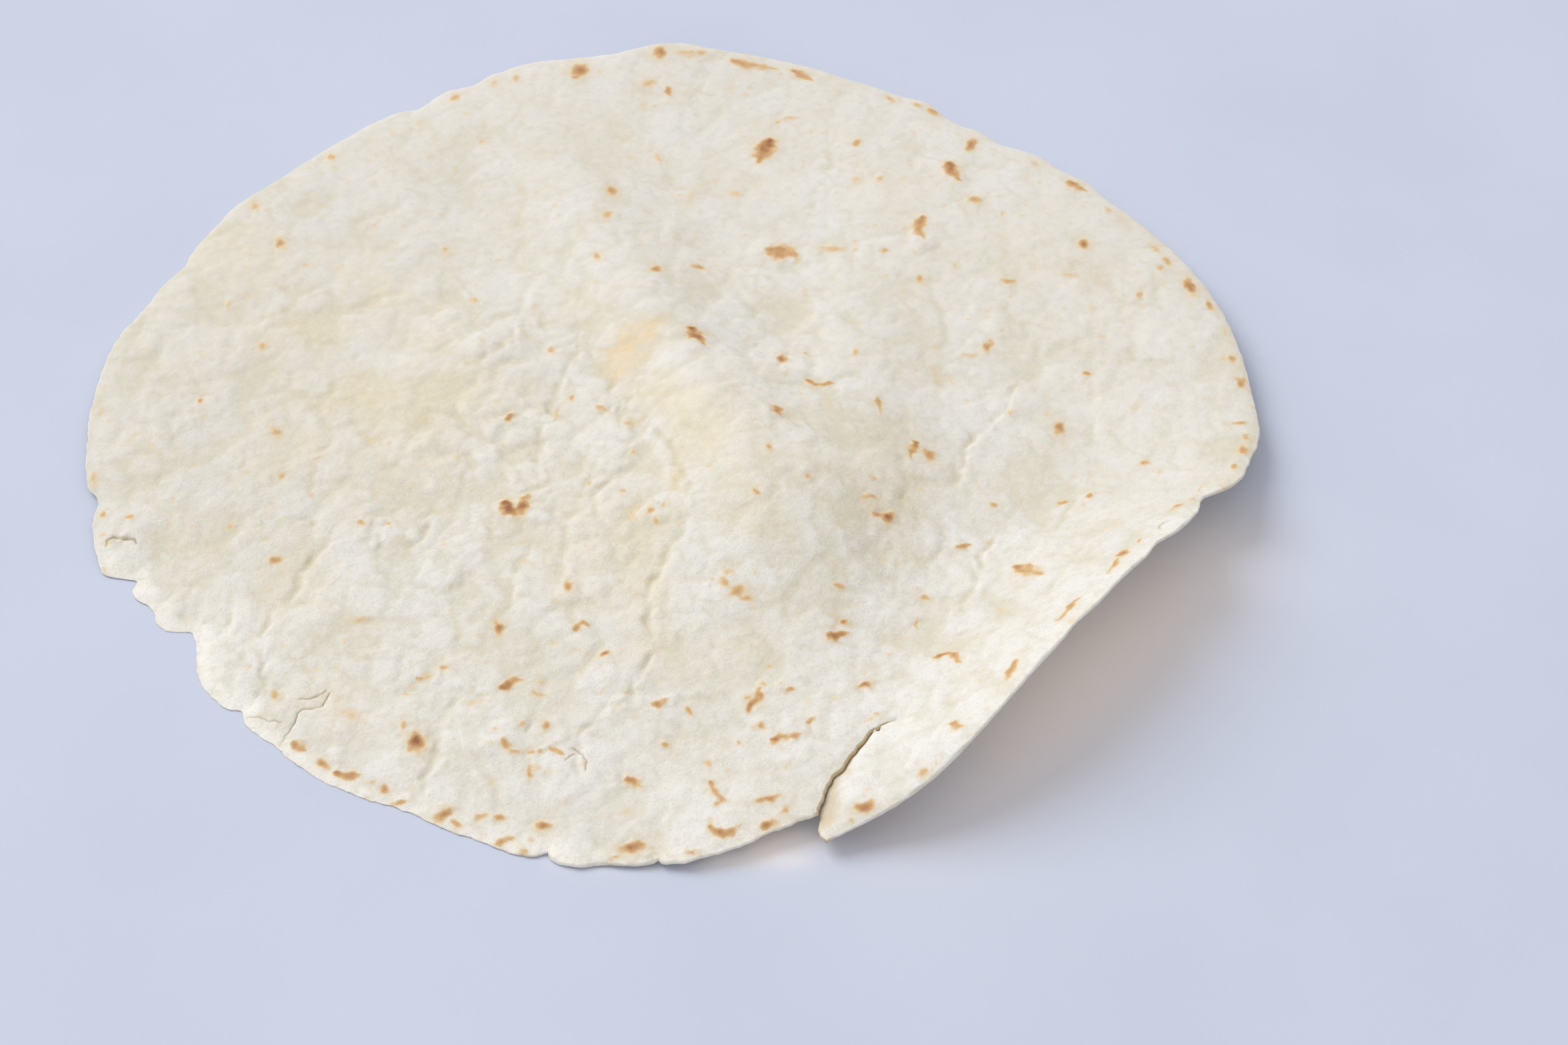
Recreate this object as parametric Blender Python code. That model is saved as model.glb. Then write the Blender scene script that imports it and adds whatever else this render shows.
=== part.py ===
"""Flour tortilla: one loose, soft, round flatbread lying on its underside.

The sheet is a hand-rolled disc about 200 mm across and 2 mm thick. Its left half
lies almost flat, a soft crease ridge runs from the back rim to the middle, and the
front right edge curls up. One tear runs in from the front rim, and the rim is
ragged at the front left.

Metres, +Z up. The origin is under the middle of the part's box, at table level.
-Y is the front, +X the right, and azimuths are counted in degrees from +X
through +Y.
"""

import math

import bmesh
import bpy
import numpy as np
from mathutils import Vector, geometry

MM = 0.001

# ---------------------------------------------------------------- driving sizes (mm)
SHEET_RADIUS = 99.4  # from the middle of the sheet to the rim, along the sheet
THICKNESS = 2.0
RIM_THICKNESS = 1.4
RIM_TAPER = 6.0  # the sheet thins over this distance from the rim
MIDDLE = (0.87, 1.43)  # the sheet's middle, from the middle of the part's box
SEAT = 1.1  # whatever would lie lower than this is pressed flat on the table

RIM_STEP = 2.4  # mesh spacing along the rim
SHEET_STEP = 5.4  # mesh spacing inside

# Slow lobes of the hand-rolled outline: number of lobes, height, azimuth of a crest.
LOBES = ((1, 1.6, 237.0), (2, 0.8, 88.0), (4, 1.5, 8.0))

# Chips out of the rim: azimuth, half-width in degrees, depth, squareness.
CHIPS = (
    (219.0, 4.5, 4.4, 2),
    (212.5, 4.0, 2.2, 6),
    (161.5, 3.0, 1.6, 2),
    (124.5, 2.5, 1.4, 2),
    (118.0, 2.0, 1.4, 2),
    (55.0, 4.5, 1.4, 4),
    (327.5, 3.0, 1.4, 4),
    (339.0, 3.2, 2.1, 4),
)

# Tear from its tip to the front rim: distance from the middle, azimuth, half the gap.
TEAR = (
    (83.6, 295.7, 0.0),
    (83.4, 293.6, 0.15),
    (85.4, 291.5, 0.40),
    (87.6, 289.6, 0.75),
    (91.0, 287.1, 0.70),
    (94.5, 285.5, 0.60),
)
TEAR_MOUTH_LEFT = 284.7  # azimuth where the rim starts again left of the gap
TEAR_MOUTH_RIGHT = 285.4  # and right of it
TEAR_PULL = 4.6  # the rim left of the tear is drawn in by this much
TEAR_PULL_SPREAD = 5.0  # degrees

# Heights of the sheet's underside above the table.
LIE = 0.4
CREST = ((-36.0, 82.0, 1.0), (-9.0, 28.0, 4.6), (13.0, -22.0, 6.2))  # x, y, height
CREST_LEFT = 7.5
CREST_RIGHT = 10.0
CREST_END = 26.0
CURL_AZIMUTH = 318.0
CURL_START = 51.0  # how far from the middle the sheet starts to bend up
CURL_HEIGHT = 22.0
CURL_POWER = 2.15
CURL_BOW = 5.0
CURL_SHIFT = 5.0
CURL_HALF = 64.0
# Broad swells: x, y, long half, short half, direction of the long axis, height.
SWELLS = (
    (78.0, -6.0, 34.0, 26.0, 20.0, 1.4),
    (5.0, -46.0, 34.0, 27.0, 0.0, 3.6),
    (29.0, -16.0, 44.0, 8.0, 86.0, 2.3),
    (-38.0, 5.0, 18.0, 10.0, 52.0, 1.8),
    (-54.0, 58.0, 17.0, 10.0, 74.0, 1.0),
    (70.0, 42.0, 42.0, 15.0, 147.0, 3.0),
    (50.0, -36.0, 26.0, 14.0, 62.0, -2.2),
)
# Places where the rim lifts: azimuth, spread in degrees, height at the rim.
LIFTS = (
    (190.0, 18.0, 2.0),
    (262.0, 14.0, 0.6),
    (288.0, 9.0, 1.2),
    (347.0, 18.0, 3.0),
    (95.0, 18.0, 3.2),
)


def turn(azimuth, from_azimuth):
    """Degrees from one azimuth to another, between -180 and 180."""
    return (azimuth - from_azimuth + 180.0) % 360.0 - 180.0


def through_crest(y, column):
    """A quadratic in y through the three points of the crest."""
    (_, y1, _), (_, y2, _), (_, y3, _) = CREST
    a, b, c = (point[column] for point in CREST)
    return (
        a * (y - y2) * (y - y3) / ((y1 - y2) * (y1 - y3))
        + b * (y - y1) * (y - y3) / ((y2 - y1) * (y2 - y3))
        + c * (y - y1) * (y - y2) / ((y3 - y1) * (y3 - y2))
    )


def height(x, y):
    """Height of the underside over the table, before it is pressed flat."""
    x = np.asarray(x, float)
    y = np.asarray(y, float)
    z = np.full(x.shape, LIE)

    along = np.clip(y, CREST[2][1], CREST[0][1] + 10.0)
    across = x - through_crest(along, 0)
    width = np.where(across < 0.0, CREST_LEFT, CREST_RIGHT)
    fade = np.exp(-((np.minimum(0.0, y - CREST[2][1]) / CREST_END) ** 2))
    z += through_crest(along, 2) / np.cosh(across / width) * fade

    a = math.radians(CURL_AZIMUTH)
    out = x * math.cos(a) + y * math.sin(a)
    side = -x * math.sin(a) + y * math.cos(a) - CURL_SHIFT
    bend = np.maximum(0.0, out - CURL_START - CURL_BOW * side**2 / 1000.0)
    bend /= 95.0 - CURL_START
    z += CURL_HEIGHT * bend**CURL_POWER * np.exp(-((side / CURL_HALF) ** 4))

    for cx, cy, long_half, short_half, direction, rise in SWELLS:
        b = math.radians(direction)
        u = (x - cx) * math.cos(b) + (y - cy) * math.sin(b)
        v = -(x - cx) * math.sin(b) + (y - cy) * math.cos(b)
        z += rise * np.exp(-0.5 * ((u / long_half) ** 2 + (v / short_half) ** 2))

    azimuth = np.degrees(np.arctan2(y, x))
    near_rim = np.maximum(0.0, np.hypot(x, y) - 60.0) / 40.0
    for middle, spread, rise in LIFTS:
        z += rise * np.exp(-0.5 * (turn(azimuth, middle) / spread) ** 2) * near_rim**2
    return z


def sheet_reach(azimuth):
    """Length of the sheet from its middle to the rim, at one azimuth."""
    reach = SHEET_RADIUS
    for lobes, rise, crest in LOBES:
        reach += rise * math.cos(lobes * math.radians(azimuth - crest))
    for middle, half, depth, square in CHIPS:
        reach -= depth * math.exp(-((abs(turn(azimuth, middle)) / half) ** square))
    past = turn(TEAR_MOUTH_LEFT, azimuth)
    if -1.0 < past < 4.0 * TEAR_PULL_SPREAD:
        reach -= TEAR_PULL * math.exp(-((past / TEAR_PULL_SPREAD) ** 2))
    return reach


def plan_radius(azimuth):
    """How far out the rim stands: the sheet keeps its length where it climbs."""
    reach = sheet_reach(azimuth)
    a = math.radians(azimuth)
    radii = np.linspace(0.0, reach, 160)
    z = height(radii * math.cos(a), radii * math.sin(a))
    length = np.concatenate([[0.0], np.cumsum(np.hypot(np.diff(radii), np.diff(z)))])
    return float(np.interp(reach, length, radii))


def at(radius, azimuth):
    a = math.radians(azimuth)
    return (radius * math.cos(a), radius * math.sin(a))


def rim_points():
    """The outline, from the right lip of the tear all round to its left lip."""
    sweep = 360.0 + TEAR_MOUTH_LEFT - TEAR_MOUTH_RIGHT
    count = round(math.radians(sweep) * SHEET_RADIUS / RIM_STEP)
    points = []
    for i in range(count + 1):
        azimuth = TEAR_MOUTH_RIGHT + sweep * i / count
        points.append(at(plan_radius(azimuth), azimuth))
    return points


def tear_points():
    """Down the left side of the tear to its tip, and back up the right side."""
    path = [at(radius, azimuth) for radius, azimuth, _ in TEAR]
    left, right = [], []
    for i in range(1, len(path)):
        inner, outer = path[i - 1], path[min(i + 1, len(path) - 1)]
        dx, dy = inner[0] - outer[0], inner[1] - outer[1]
        half = TEAR[i][2] / math.hypot(dx, dy)
        left.append((path[i][0] - dy * half, path[i][1] + dx * half))
        right.append((path[i][0] + dy * half, path[i][1] - dx * half))
    return left[::-1] + path[:1] + right


def inside(x, y, outline):
    """Whether a point lies in the outline, and how far it is from it."""
    far = 1e9
    odd = False
    for (x1, y1), (x2, y2) in zip(outline, outline[1:] + outline[:1]):
        if (y1 > y) != (y2 > y) and x < x1 + (y - y1) / (y2 - y1) * (x2 - x1):
            odd = not odd
        dx, dy = x2 - x1, y2 - y1
        t = ((x - x1) * dx + (y - y1) * dy) / max(dx * dx + dy * dy, 1e-9)
        t = min(1.0, max(0.0, t))
        far = min(far, math.hypot(x - x1 - t * dx, y - y1 - t * dy))
    return odd, far


def flat_sheet():
    """The outline filled with an even triangle mesh, still flat."""
    outline = rim_points() + tear_points()
    points = [Vector(point) for point in outline]
    row = SHEET_STEP * math.sqrt(3.0) / 2.0
    rows = int(110.0 / row)
    for j in range(-rows, rows + 1):
        shift = 0.5 * SHEET_STEP * (j % 2)
        for i in range(-22, 23):
            x, y = i * SHEET_STEP + shift, j * row
            if math.hypot(x, y) > 108.0:
                continue
            within, far = inside(x, y, outline)
            if within and far > 0.45 * SHEET_STEP:
                points.append(Vector((x, y)))
    edges = [(i, (i + 1) % len(outline)) for i in range(len(outline))]
    verts, _, faces, *_ = geometry.delaunay_2d_cdt(points, edges, [], 1, 1e-4)
    return verts, faces, outline


def build_tortilla(collection, material):
    flat, faces, outline = flat_sheet()

    bm = bmesh.new()
    verts = [bm.verts.new((p.x, p.y, 0.0)) for p in flat]
    for face in faces:
        bm.faces.new([verts[i] for i in face])
    bmesh.ops.recalc_face_normals(bm, faces=bm.faces[:])
    if sum(face.normal.z for face in bm.faces) > 0.0:
        bmesh.ops.reverse_faces(bm, faces=bm.faces[:])

    # The top is the underside drawn up, so that a wall closes the rim and the tear.
    grown = bmesh.ops.extrude_face_region(bm, geom=bm.faces[:], use_keep_orig=True)
    top = {item for item in grown["geom"] if isinstance(item, bmesh.types.BMVert)}

    for vert in bm.verts:
        x, y = vert.co.x, vert.co.y
        _, far = inside(x, y, outline)
        taper = min(1.0, far / RIM_TAPER)
        thick = RIM_THICKNESS + (THICKNESS - RIM_THICKNESS) * math.sqrt(taper)
        e = 0.5
        slope_x = float(height(x + e, y) - height(x - e, y)) / (2.0 * e)
        slope_y = float(height(x, y + e) - height(x, y - e)) / (2.0 * e)
        normal = Vector((-slope_x, -slope_y, 1.0)).normalized()
        under = Vector((x, y, max(0.0, float(height(x, y)) - SEAT)))
        vert.co = under + normal * thick if vert in top else under
    for vert in bm.verts:
        vert.co.x = (vert.co.x + MIDDLE[0]) * MM
        vert.co.y = (vert.co.y + MIDDLE[1]) * MM
        vert.co.z *= MM
    bmesh.ops.triangulate(bm, faces=[f for f in bm.faces if len(f.verts) > 3])
    bmesh.ops.recalc_face_normals(bm, faces=bm.faces[:])

    mesh = bpy.data.meshes.new("tortilla")
    bm.to_mesh(mesh)
    bm.free()
    mesh.materials.append(material)
    mesh.shade_smooth()
    mesh.set_sharp_from_angle(angle=math.radians(50.0))
    tortilla = bpy.data.objects.new("tortilla", mesh)
    collection.objects.link(tortilla)
    return tortilla


def soft_flatbread():
    material = bpy.data.materials.new("soft_flatbread")
    material.use_nodes = True
    shader = material.node_tree.nodes["Principled BSDF"]
    shader.inputs["Base Color"].default_value = (0.80, 0.73, 0.60, 1.0)
    shader.inputs["Roughness"].default_value = 0.78
    shader.inputs["Metallic"].default_value = 0.0
    material.diffuse_color = (0.80, 0.73, 0.60, 1.0)
    return material


def main():
    for obj in list(bpy.data.objects):
        bpy.data.objects.remove(obj, do_unlink=True)
    parts = bpy.data.collections.new("flour_tortilla")
    bpy.context.scene.collection.children.link(parts)
    build_tortilla(parts, soft_flatbread())


main()
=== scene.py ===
"""Looks of the flour tortilla: one loose, soft flatbread on a pale worktop.

The sheet repeats the shape of the CAD solid and adds what a finished bread shows:
puckers, blisters, creases, two cracks, a rounded rim, the torn faces of the tear and
the toast marks. All of it is relief in the mesh first, and colour after that.

Millimetres throughout, in the sheet's own frame; the mesh is moved by MIDDLE into the
part's frame and turned into metres at the very end. Azimuths are degrees from +X
through +Y, and heights are measured from the table.
"""

import math

import bpy
import numpy as np
from mathutils import Matrix, Vector, geometry, kdtree


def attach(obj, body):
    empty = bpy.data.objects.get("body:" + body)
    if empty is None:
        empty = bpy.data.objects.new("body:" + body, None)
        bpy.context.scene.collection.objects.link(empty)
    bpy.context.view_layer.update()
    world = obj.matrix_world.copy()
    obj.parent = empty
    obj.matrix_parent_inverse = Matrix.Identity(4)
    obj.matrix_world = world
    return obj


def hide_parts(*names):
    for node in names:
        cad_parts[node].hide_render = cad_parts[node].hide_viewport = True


MM = 0.001

# ------------------------------------------------------------ the sheet, as in the CAD
SHEET_RADIUS = 99.4
THICKNESS = 2.0
RIM_THICKNESS = 1.4
RIM_TAPER = 6.0
MIDDLE = (0.87, 1.43)
SEAT = 1.1
LOBES = ((1, 1.1, 168.0), (2, 0.75, 77.0), (3, 0.2, 107.0), (4, 1.6, 9.0))

LIE = 0.4
CREST = ((-36.0, 82.0, 1.0), (-9.0, 28.0, 4.6), (13.0, -22.0, 6.2))
CREST_LEFT = 7.5
CREST_RIGHT = 10.0
CREST_END = 26.0
CURL_AZIMUTH = 318.0
CURL_START = 51.0
CURL_HEIGHT = 22.0
CURL_POWER = 2.15
CURL_BOW = 5.0
CURL_SHIFT = 5.0
CURL_HALF = 64.0
SWELLS = (
    (78.0, -6.0, 34.0, 26.0, 20.0, 1.4),
    (5.0, -46.0, 34.0, 27.0, 0.0, 3.6),
    (29.0, -16.0, 44.0, 8.0, 86.0, 2.3),
    (-38.0, 5.0, 18.0, 10.0, 52.0, 1.8),
    (-54.0, 58.0, 17.0, 10.0, 74.0, 1.0),
    (70.0, 42.0, 42.0, 15.0, 147.0, 3.0),
    (50.0, -36.0, 26.0, 14.0, 62.0, -2.2),
)
LIFTS = (
    (190.0, 18.0, 2.0),
    (228.0, 25.0, -0.8),
    (262.0, 14.0, 0.6),
    (288.0, 9.0, 1.2),
    (347.0, 18.0, 3.0),
    (95.0, 18.0, 3.2),
)

# ------------------------------------------------------------ the rim's finer outline
# Azimuth, width before it and after it in degrees, rise of the outline in mm.
RIM_WAVES = (
    (41.5, 2.5, 2.5, 1.0),
    (48.5, 3.0, 2.5, 0.8),
    (53.0, 3.0, 2.5, -1.5),
    (59.0, 2.6, 2.4, -1.4),
    (63.5, 1.2, 2.5, 1.1),
    (73.5, 3.5, 3.5, -0.3),
    (94.0, 3.6, 3.4, 1.4),
    (101.5, 3.4, 6.0, -1.3),
    (111.0, 2.5, 2.0, 0.5),
    (117.5, 1.8, 2.0, -1.5),
    (124.0, 2.4, 2.2, -1.8),
    (130.5, 2.5, 3.0, 0.4),
    (150.0, 3.5, 3.0, 1.0),
    (161.5, 2.5, 2.5, -1.5),
    (168.0, 3.5, 3.0, -0.9),
    (176.0, 3.5, 8.0, 0.6),
    (197.2, 1.2, 2.4, -1.4),
    (202.5, 3.0, 3.0, 0.6),
    (206.4, 3.0, 1.0, 1.2),
    (208.9, 0.9, 1.3, -2.9),
    (212.8, 2.2, 1.4, -1.9),
    (214.0, 1.8, 1.8, -1.3),
    (218.2, 2.2, 3.9, -5.2),
    (229.2, 0.9, 0.9, -1.2),
    (239.5, 4.0, 5.0, 0.9),
    (249.0, 2.6, 2.6, -0.7),
    (259.0, 2.0, 1.8, 0.9),
    (261.8, 0.5, 0.3, -0.9),
    (264.0, 2.0, 2.0, 1.2),
    (271.1, 0.35, 0.35, -0.8),
    (296.0, 5.0, 8.0, 0.8),
    (314.5, 2.0, 2.0, -0.9),
    (323.0, 4.0, 6.0, -1.0),
    (329.6, 1.8, 1.6, -1.7),
    (341.4, 4.0, 1.5, -3.0),
    (346.0, 2.5, 3.0, 0.8),
    (355.5, 4.6, 5.4, 1.2),
)
# Torn stretches of the rim: azimuth, spread, how ragged.
RAGGED = ((213.0, 12.0, 0.8), (240.0, 16.0, 0.45), (184.0, 14.0, 0.4), (265.0, 12.0, 0.35), (283.0, 5.0, 0.8))

# The tear from its tip to the front rim: x, y, half the gap.
TEAR = (
    (37.2, -74.9, 0.0),
    (33.4, -76.3, 0.0),
    (32.1, -78.2, 0.0),
    (30.5, -80.4, 0.01),
    (29.0, -82.9, 0.02),
    (27.4, -85.2, 0.03),
    (26.5, -87.0, 0.04),
    (26.0, -88.8, 0.06),
    (25.5, -90.6, 0.10),
    (25.2, -92.6, 0.20),
)
FLAP_CORNER = ((25.4, -94.6), (25.7, -95.8), (26.5, -96.7))
MOUTH_LEFT = 284.7
MOUTH_RIGHT = 286.0
TEAR_PULL = 4.2
TEAR_PULL_SPREAD = 6.8
TORN_FACE = 3.4  # how wide the slanting torn face of the flap is at its mouth
TEAR_RISE = (281.0, 8.0, 1.8)  # the rim left of the tear stands up: azimuth, spread, rise

BULGE = 0.42  # the rim's round edge stands this far out of the flat mesh
TEAR_BULGE = 0.26
RIM_STEP = 0.62
TOP_STEP = 0.86  # mesh spacing on top, and half of it around marks and creases
UNDER_STEP = 1.7


# ------------------------------------------------------------ colours, as seen on screen
CREAM = (232, 227, 217)
CREAM_COOL = (231, 228, 222)
CREAM_WARM = (230, 223, 208)
# Flour-white: the colour of dry flour, and the painted highlight on raised lumps and lit patches.
FLOUR_AND_HIGHLIGHT = (244, 242, 237)
# Painted shade, olive-yellow, for the creases, the hollows and the seams of the bubbles.
CREASE_SHADE = (214, 206, 176)
# Butter yellow: partly the bread's own colour, partly painted shade in the valleys.
BUTTER_AND_SHADE = (234, 221, 188)
PEACH = (237, 214, 176)
UNDERSIDE = (222, 210, 188)
CRUMB = (221, 205, 181)
DUST = (238, 235, 228)
DULL = (219, 214, 204)
SHADED = (213, 206, 192)
# Painted shade, dark olive, for the creases and the hairlines.
WRINKLE_SHADE = (206, 195, 164)
HALO = (226, 205, 168)
# Painted light: the rim made whiter, as if lit through its thin edge.
PAINTED_RIM_LIGHT = (255, 250, 240)
# Painted shade in the cracks and in the gap of the tear.
CRACK_SHADE = (196, 176, 134)
TOASTED = (
    (0.06, (233, 219, 192)),
    (0.24, (231, 206, 166)),
    (0.46, (219, 181, 133)),
    (0.70, (201, 154, 107)),
    (0.90, (181, 130, 88)),
    (1.00, (160, 109, 72)),
)
SOFTNESS = 0.12
FLOOR = (208, 215, 233)
FLOOR_DARK = (204, 211, 229)

# ------------------------------------------------------------ repeatable noise
def lattice(ix, iy, seed):
    """The same number from 0 to 1 each time for one lattice point and seed."""
    h = ix.astype(np.int64) * 374761393 + iy.astype(np.int64) * 668265263
    h = (h + seed * 974634777) & 0xFFFFFFFF
    h = ((h ^ (h >> 13)) * 1274126177) & 0xFFFFFFFF
    return ((h ^ (h >> 16)) & 0xFFFFFF) / float(0x1000000)


def noise(x, y, size, seed):
    """Smooth noise, about -1 to 1, whose bumps are about size mm across."""
    x, y = x / size, y / size
    ix, iy = np.floor(x), np.floor(y)
    fx, fy = x - ix, y - iy
    u = fx**3 * (fx * (fx * 6.0 - 15.0) + 10.0)
    v = fy**3 * (fy * (fy * 6.0 - 15.0) + 10.0)
    total = np.zeros(np.shape(x))
    for dx in (0, 1):
        for dy in (0, 1):
            turn_by = 2.0 * math.pi * lattice(ix + dx, iy + dy, seed)
            slope = np.cos(turn_by) * (fx - dx) + np.sin(turn_by) * (fy - dy)
            total += slope * (u if dx else 1.0 - u) * (v if dy else 1.0 - v)
    return 1.55 * total


def cells(x, y, size, seed, loose=0.95):
    """Distances to the nearest and the next of the points scattered size mm apart."""
    x, y = x / size, y / size
    ix, iy = np.floor(x), np.floor(y)
    near = np.full(np.shape(x), 9.0)
    following = np.full(np.shape(x), 9.0)
    owner = np.zeros(np.shape(x))
    for dx in (-1, 0, 1):
        for dy in (-1, 0, 1):
            cx, cy = ix + dx, iy + dy
            px = cx + 0.5 + loose * (lattice(cx, cy, seed) - 0.5)
            py = cy + 0.5 + loose * (lattice(cx, cy, seed + 1) - 0.5)
            far = np.hypot(x - px, y - py)
            following = np.where(far < near, near, np.minimum(following, far))
            owner = np.where(far < near, lattice(cx, cy, seed + 2), owner)
            near = np.minimum(near, far)
    return near, following, owner


def smooth(low, high, value):
    t = np.clip((value - low) / (high - low), 0.0, 1.0)
    return t * t * (3.0 - 2.0 * t)


def turn(azimuth, from_azimuth):
    return (azimuth - from_azimuth + 180.0) % 360.0 - 180.0


# ------------------------------------------------------------ the sheet's heights
def through_crest(y, column):
    (_, y1, _), (_, y2, _), (_, y3, _) = CREST
    a, b, c = (point[column] for point in CREST)
    return (
        a * (y - y2) * (y - y3) / ((y1 - y2) * (y1 - y3))
        + b * (y - y1) * (y - y3) / ((y2 - y1) * (y2 - y3))
        + c * (y - y1) * (y - y2) / ((y3 - y1) * (y3 - y2))
    )


def left_of_tear(x, y):
    """Which points lie left of the tear's line."""
    line = np.array([row[:2] for row in TEAR[::-1]])
    return x < np.interp(y, line[:, 1], line[:, 0])


def height(x, y, left=None):
    """Height of the underside over the table, before it is pressed flat."""
    x = np.asarray(x, float)
    y = np.asarray(y, float)
    z = np.full(x.shape, LIE)

    along = np.clip(y, CREST[2][1], CREST[0][1] + 10.0)
    across = x - through_crest(along, 0)
    width = np.where(across < 0.0, CREST_LEFT, CREST_RIGHT)
    fade = np.exp(-((np.minimum(0.0, y - CREST[2][1]) / CREST_END) ** 2))
    z += through_crest(along, 2) / np.cosh(across / width) * fade

    a = math.radians(CURL_AZIMUTH)
    out = x * math.cos(a) + y * math.sin(a)
    side = -x * math.sin(a) + y * math.cos(a) - CURL_SHIFT
    bend = np.maximum(0.0, out - CURL_START - CURL_BOW * side**2 / 1000.0)
    bend /= 95.0 - CURL_START
    z += CURL_HEIGHT * bend**CURL_POWER * np.exp(-((side / CURL_HALF) ** 4))

    for cx, cy, long_half, short_half, direction, rise in SWELLS:
        b = math.radians(direction)
        u = (x - cx) * math.cos(b) + (y - cy) * math.sin(b)
        v = -(x - cx) * math.sin(b) + (y - cy) * math.cos(b)
        z += rise * np.exp(-0.5 * ((u / long_half) ** 2 + (v / short_half) ** 2))

    azimuth = np.degrees(np.arctan2(y, x))
    near_rim = np.maximum(0.0, np.hypot(x, y) - 60.0) / 40.0
    for middle, spread, rise in LIFTS:
        z += rise * np.exp(-0.5 * (turn(azimuth, middle) / spread) ** 2) * near_rim**2
    if left is not None:
        middle, spread, rise = TEAR_RISE
        bump = rise * np.exp(-((turn(azimuth, middle) / spread) ** 2)) * near_rim**3
        z += np.where(left, bump, 0.0)
    return z


def lying(x, y, left=None):
    """Height of the underside as it lies: pressed on the table where it would sink in."""
    if left is None:
        left = left_of_tear(x, y)
    z = height(x, y, left) - SEAT
    return 0.5 * (z + np.sqrt(z * z + 0.3**2))


def upward(x, y):
    """Unit normal of the lying sheet, as an array of three columns."""
    e = 0.6
    left = left_of_tear(x, y)
    slope_x = (lying(x + e, y, left) - lying(x - e, y, left)) / (2.0 * e)
    slope_y = (lying(x, y + e, left) - lying(x, y - e, left)) / (2.0 * e)
    n = np.stack([-slope_x, -slope_y, np.ones_like(slope_x)], axis=1)
    return n / np.linalg.norm(n, axis=1, keepdims=True)


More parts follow.
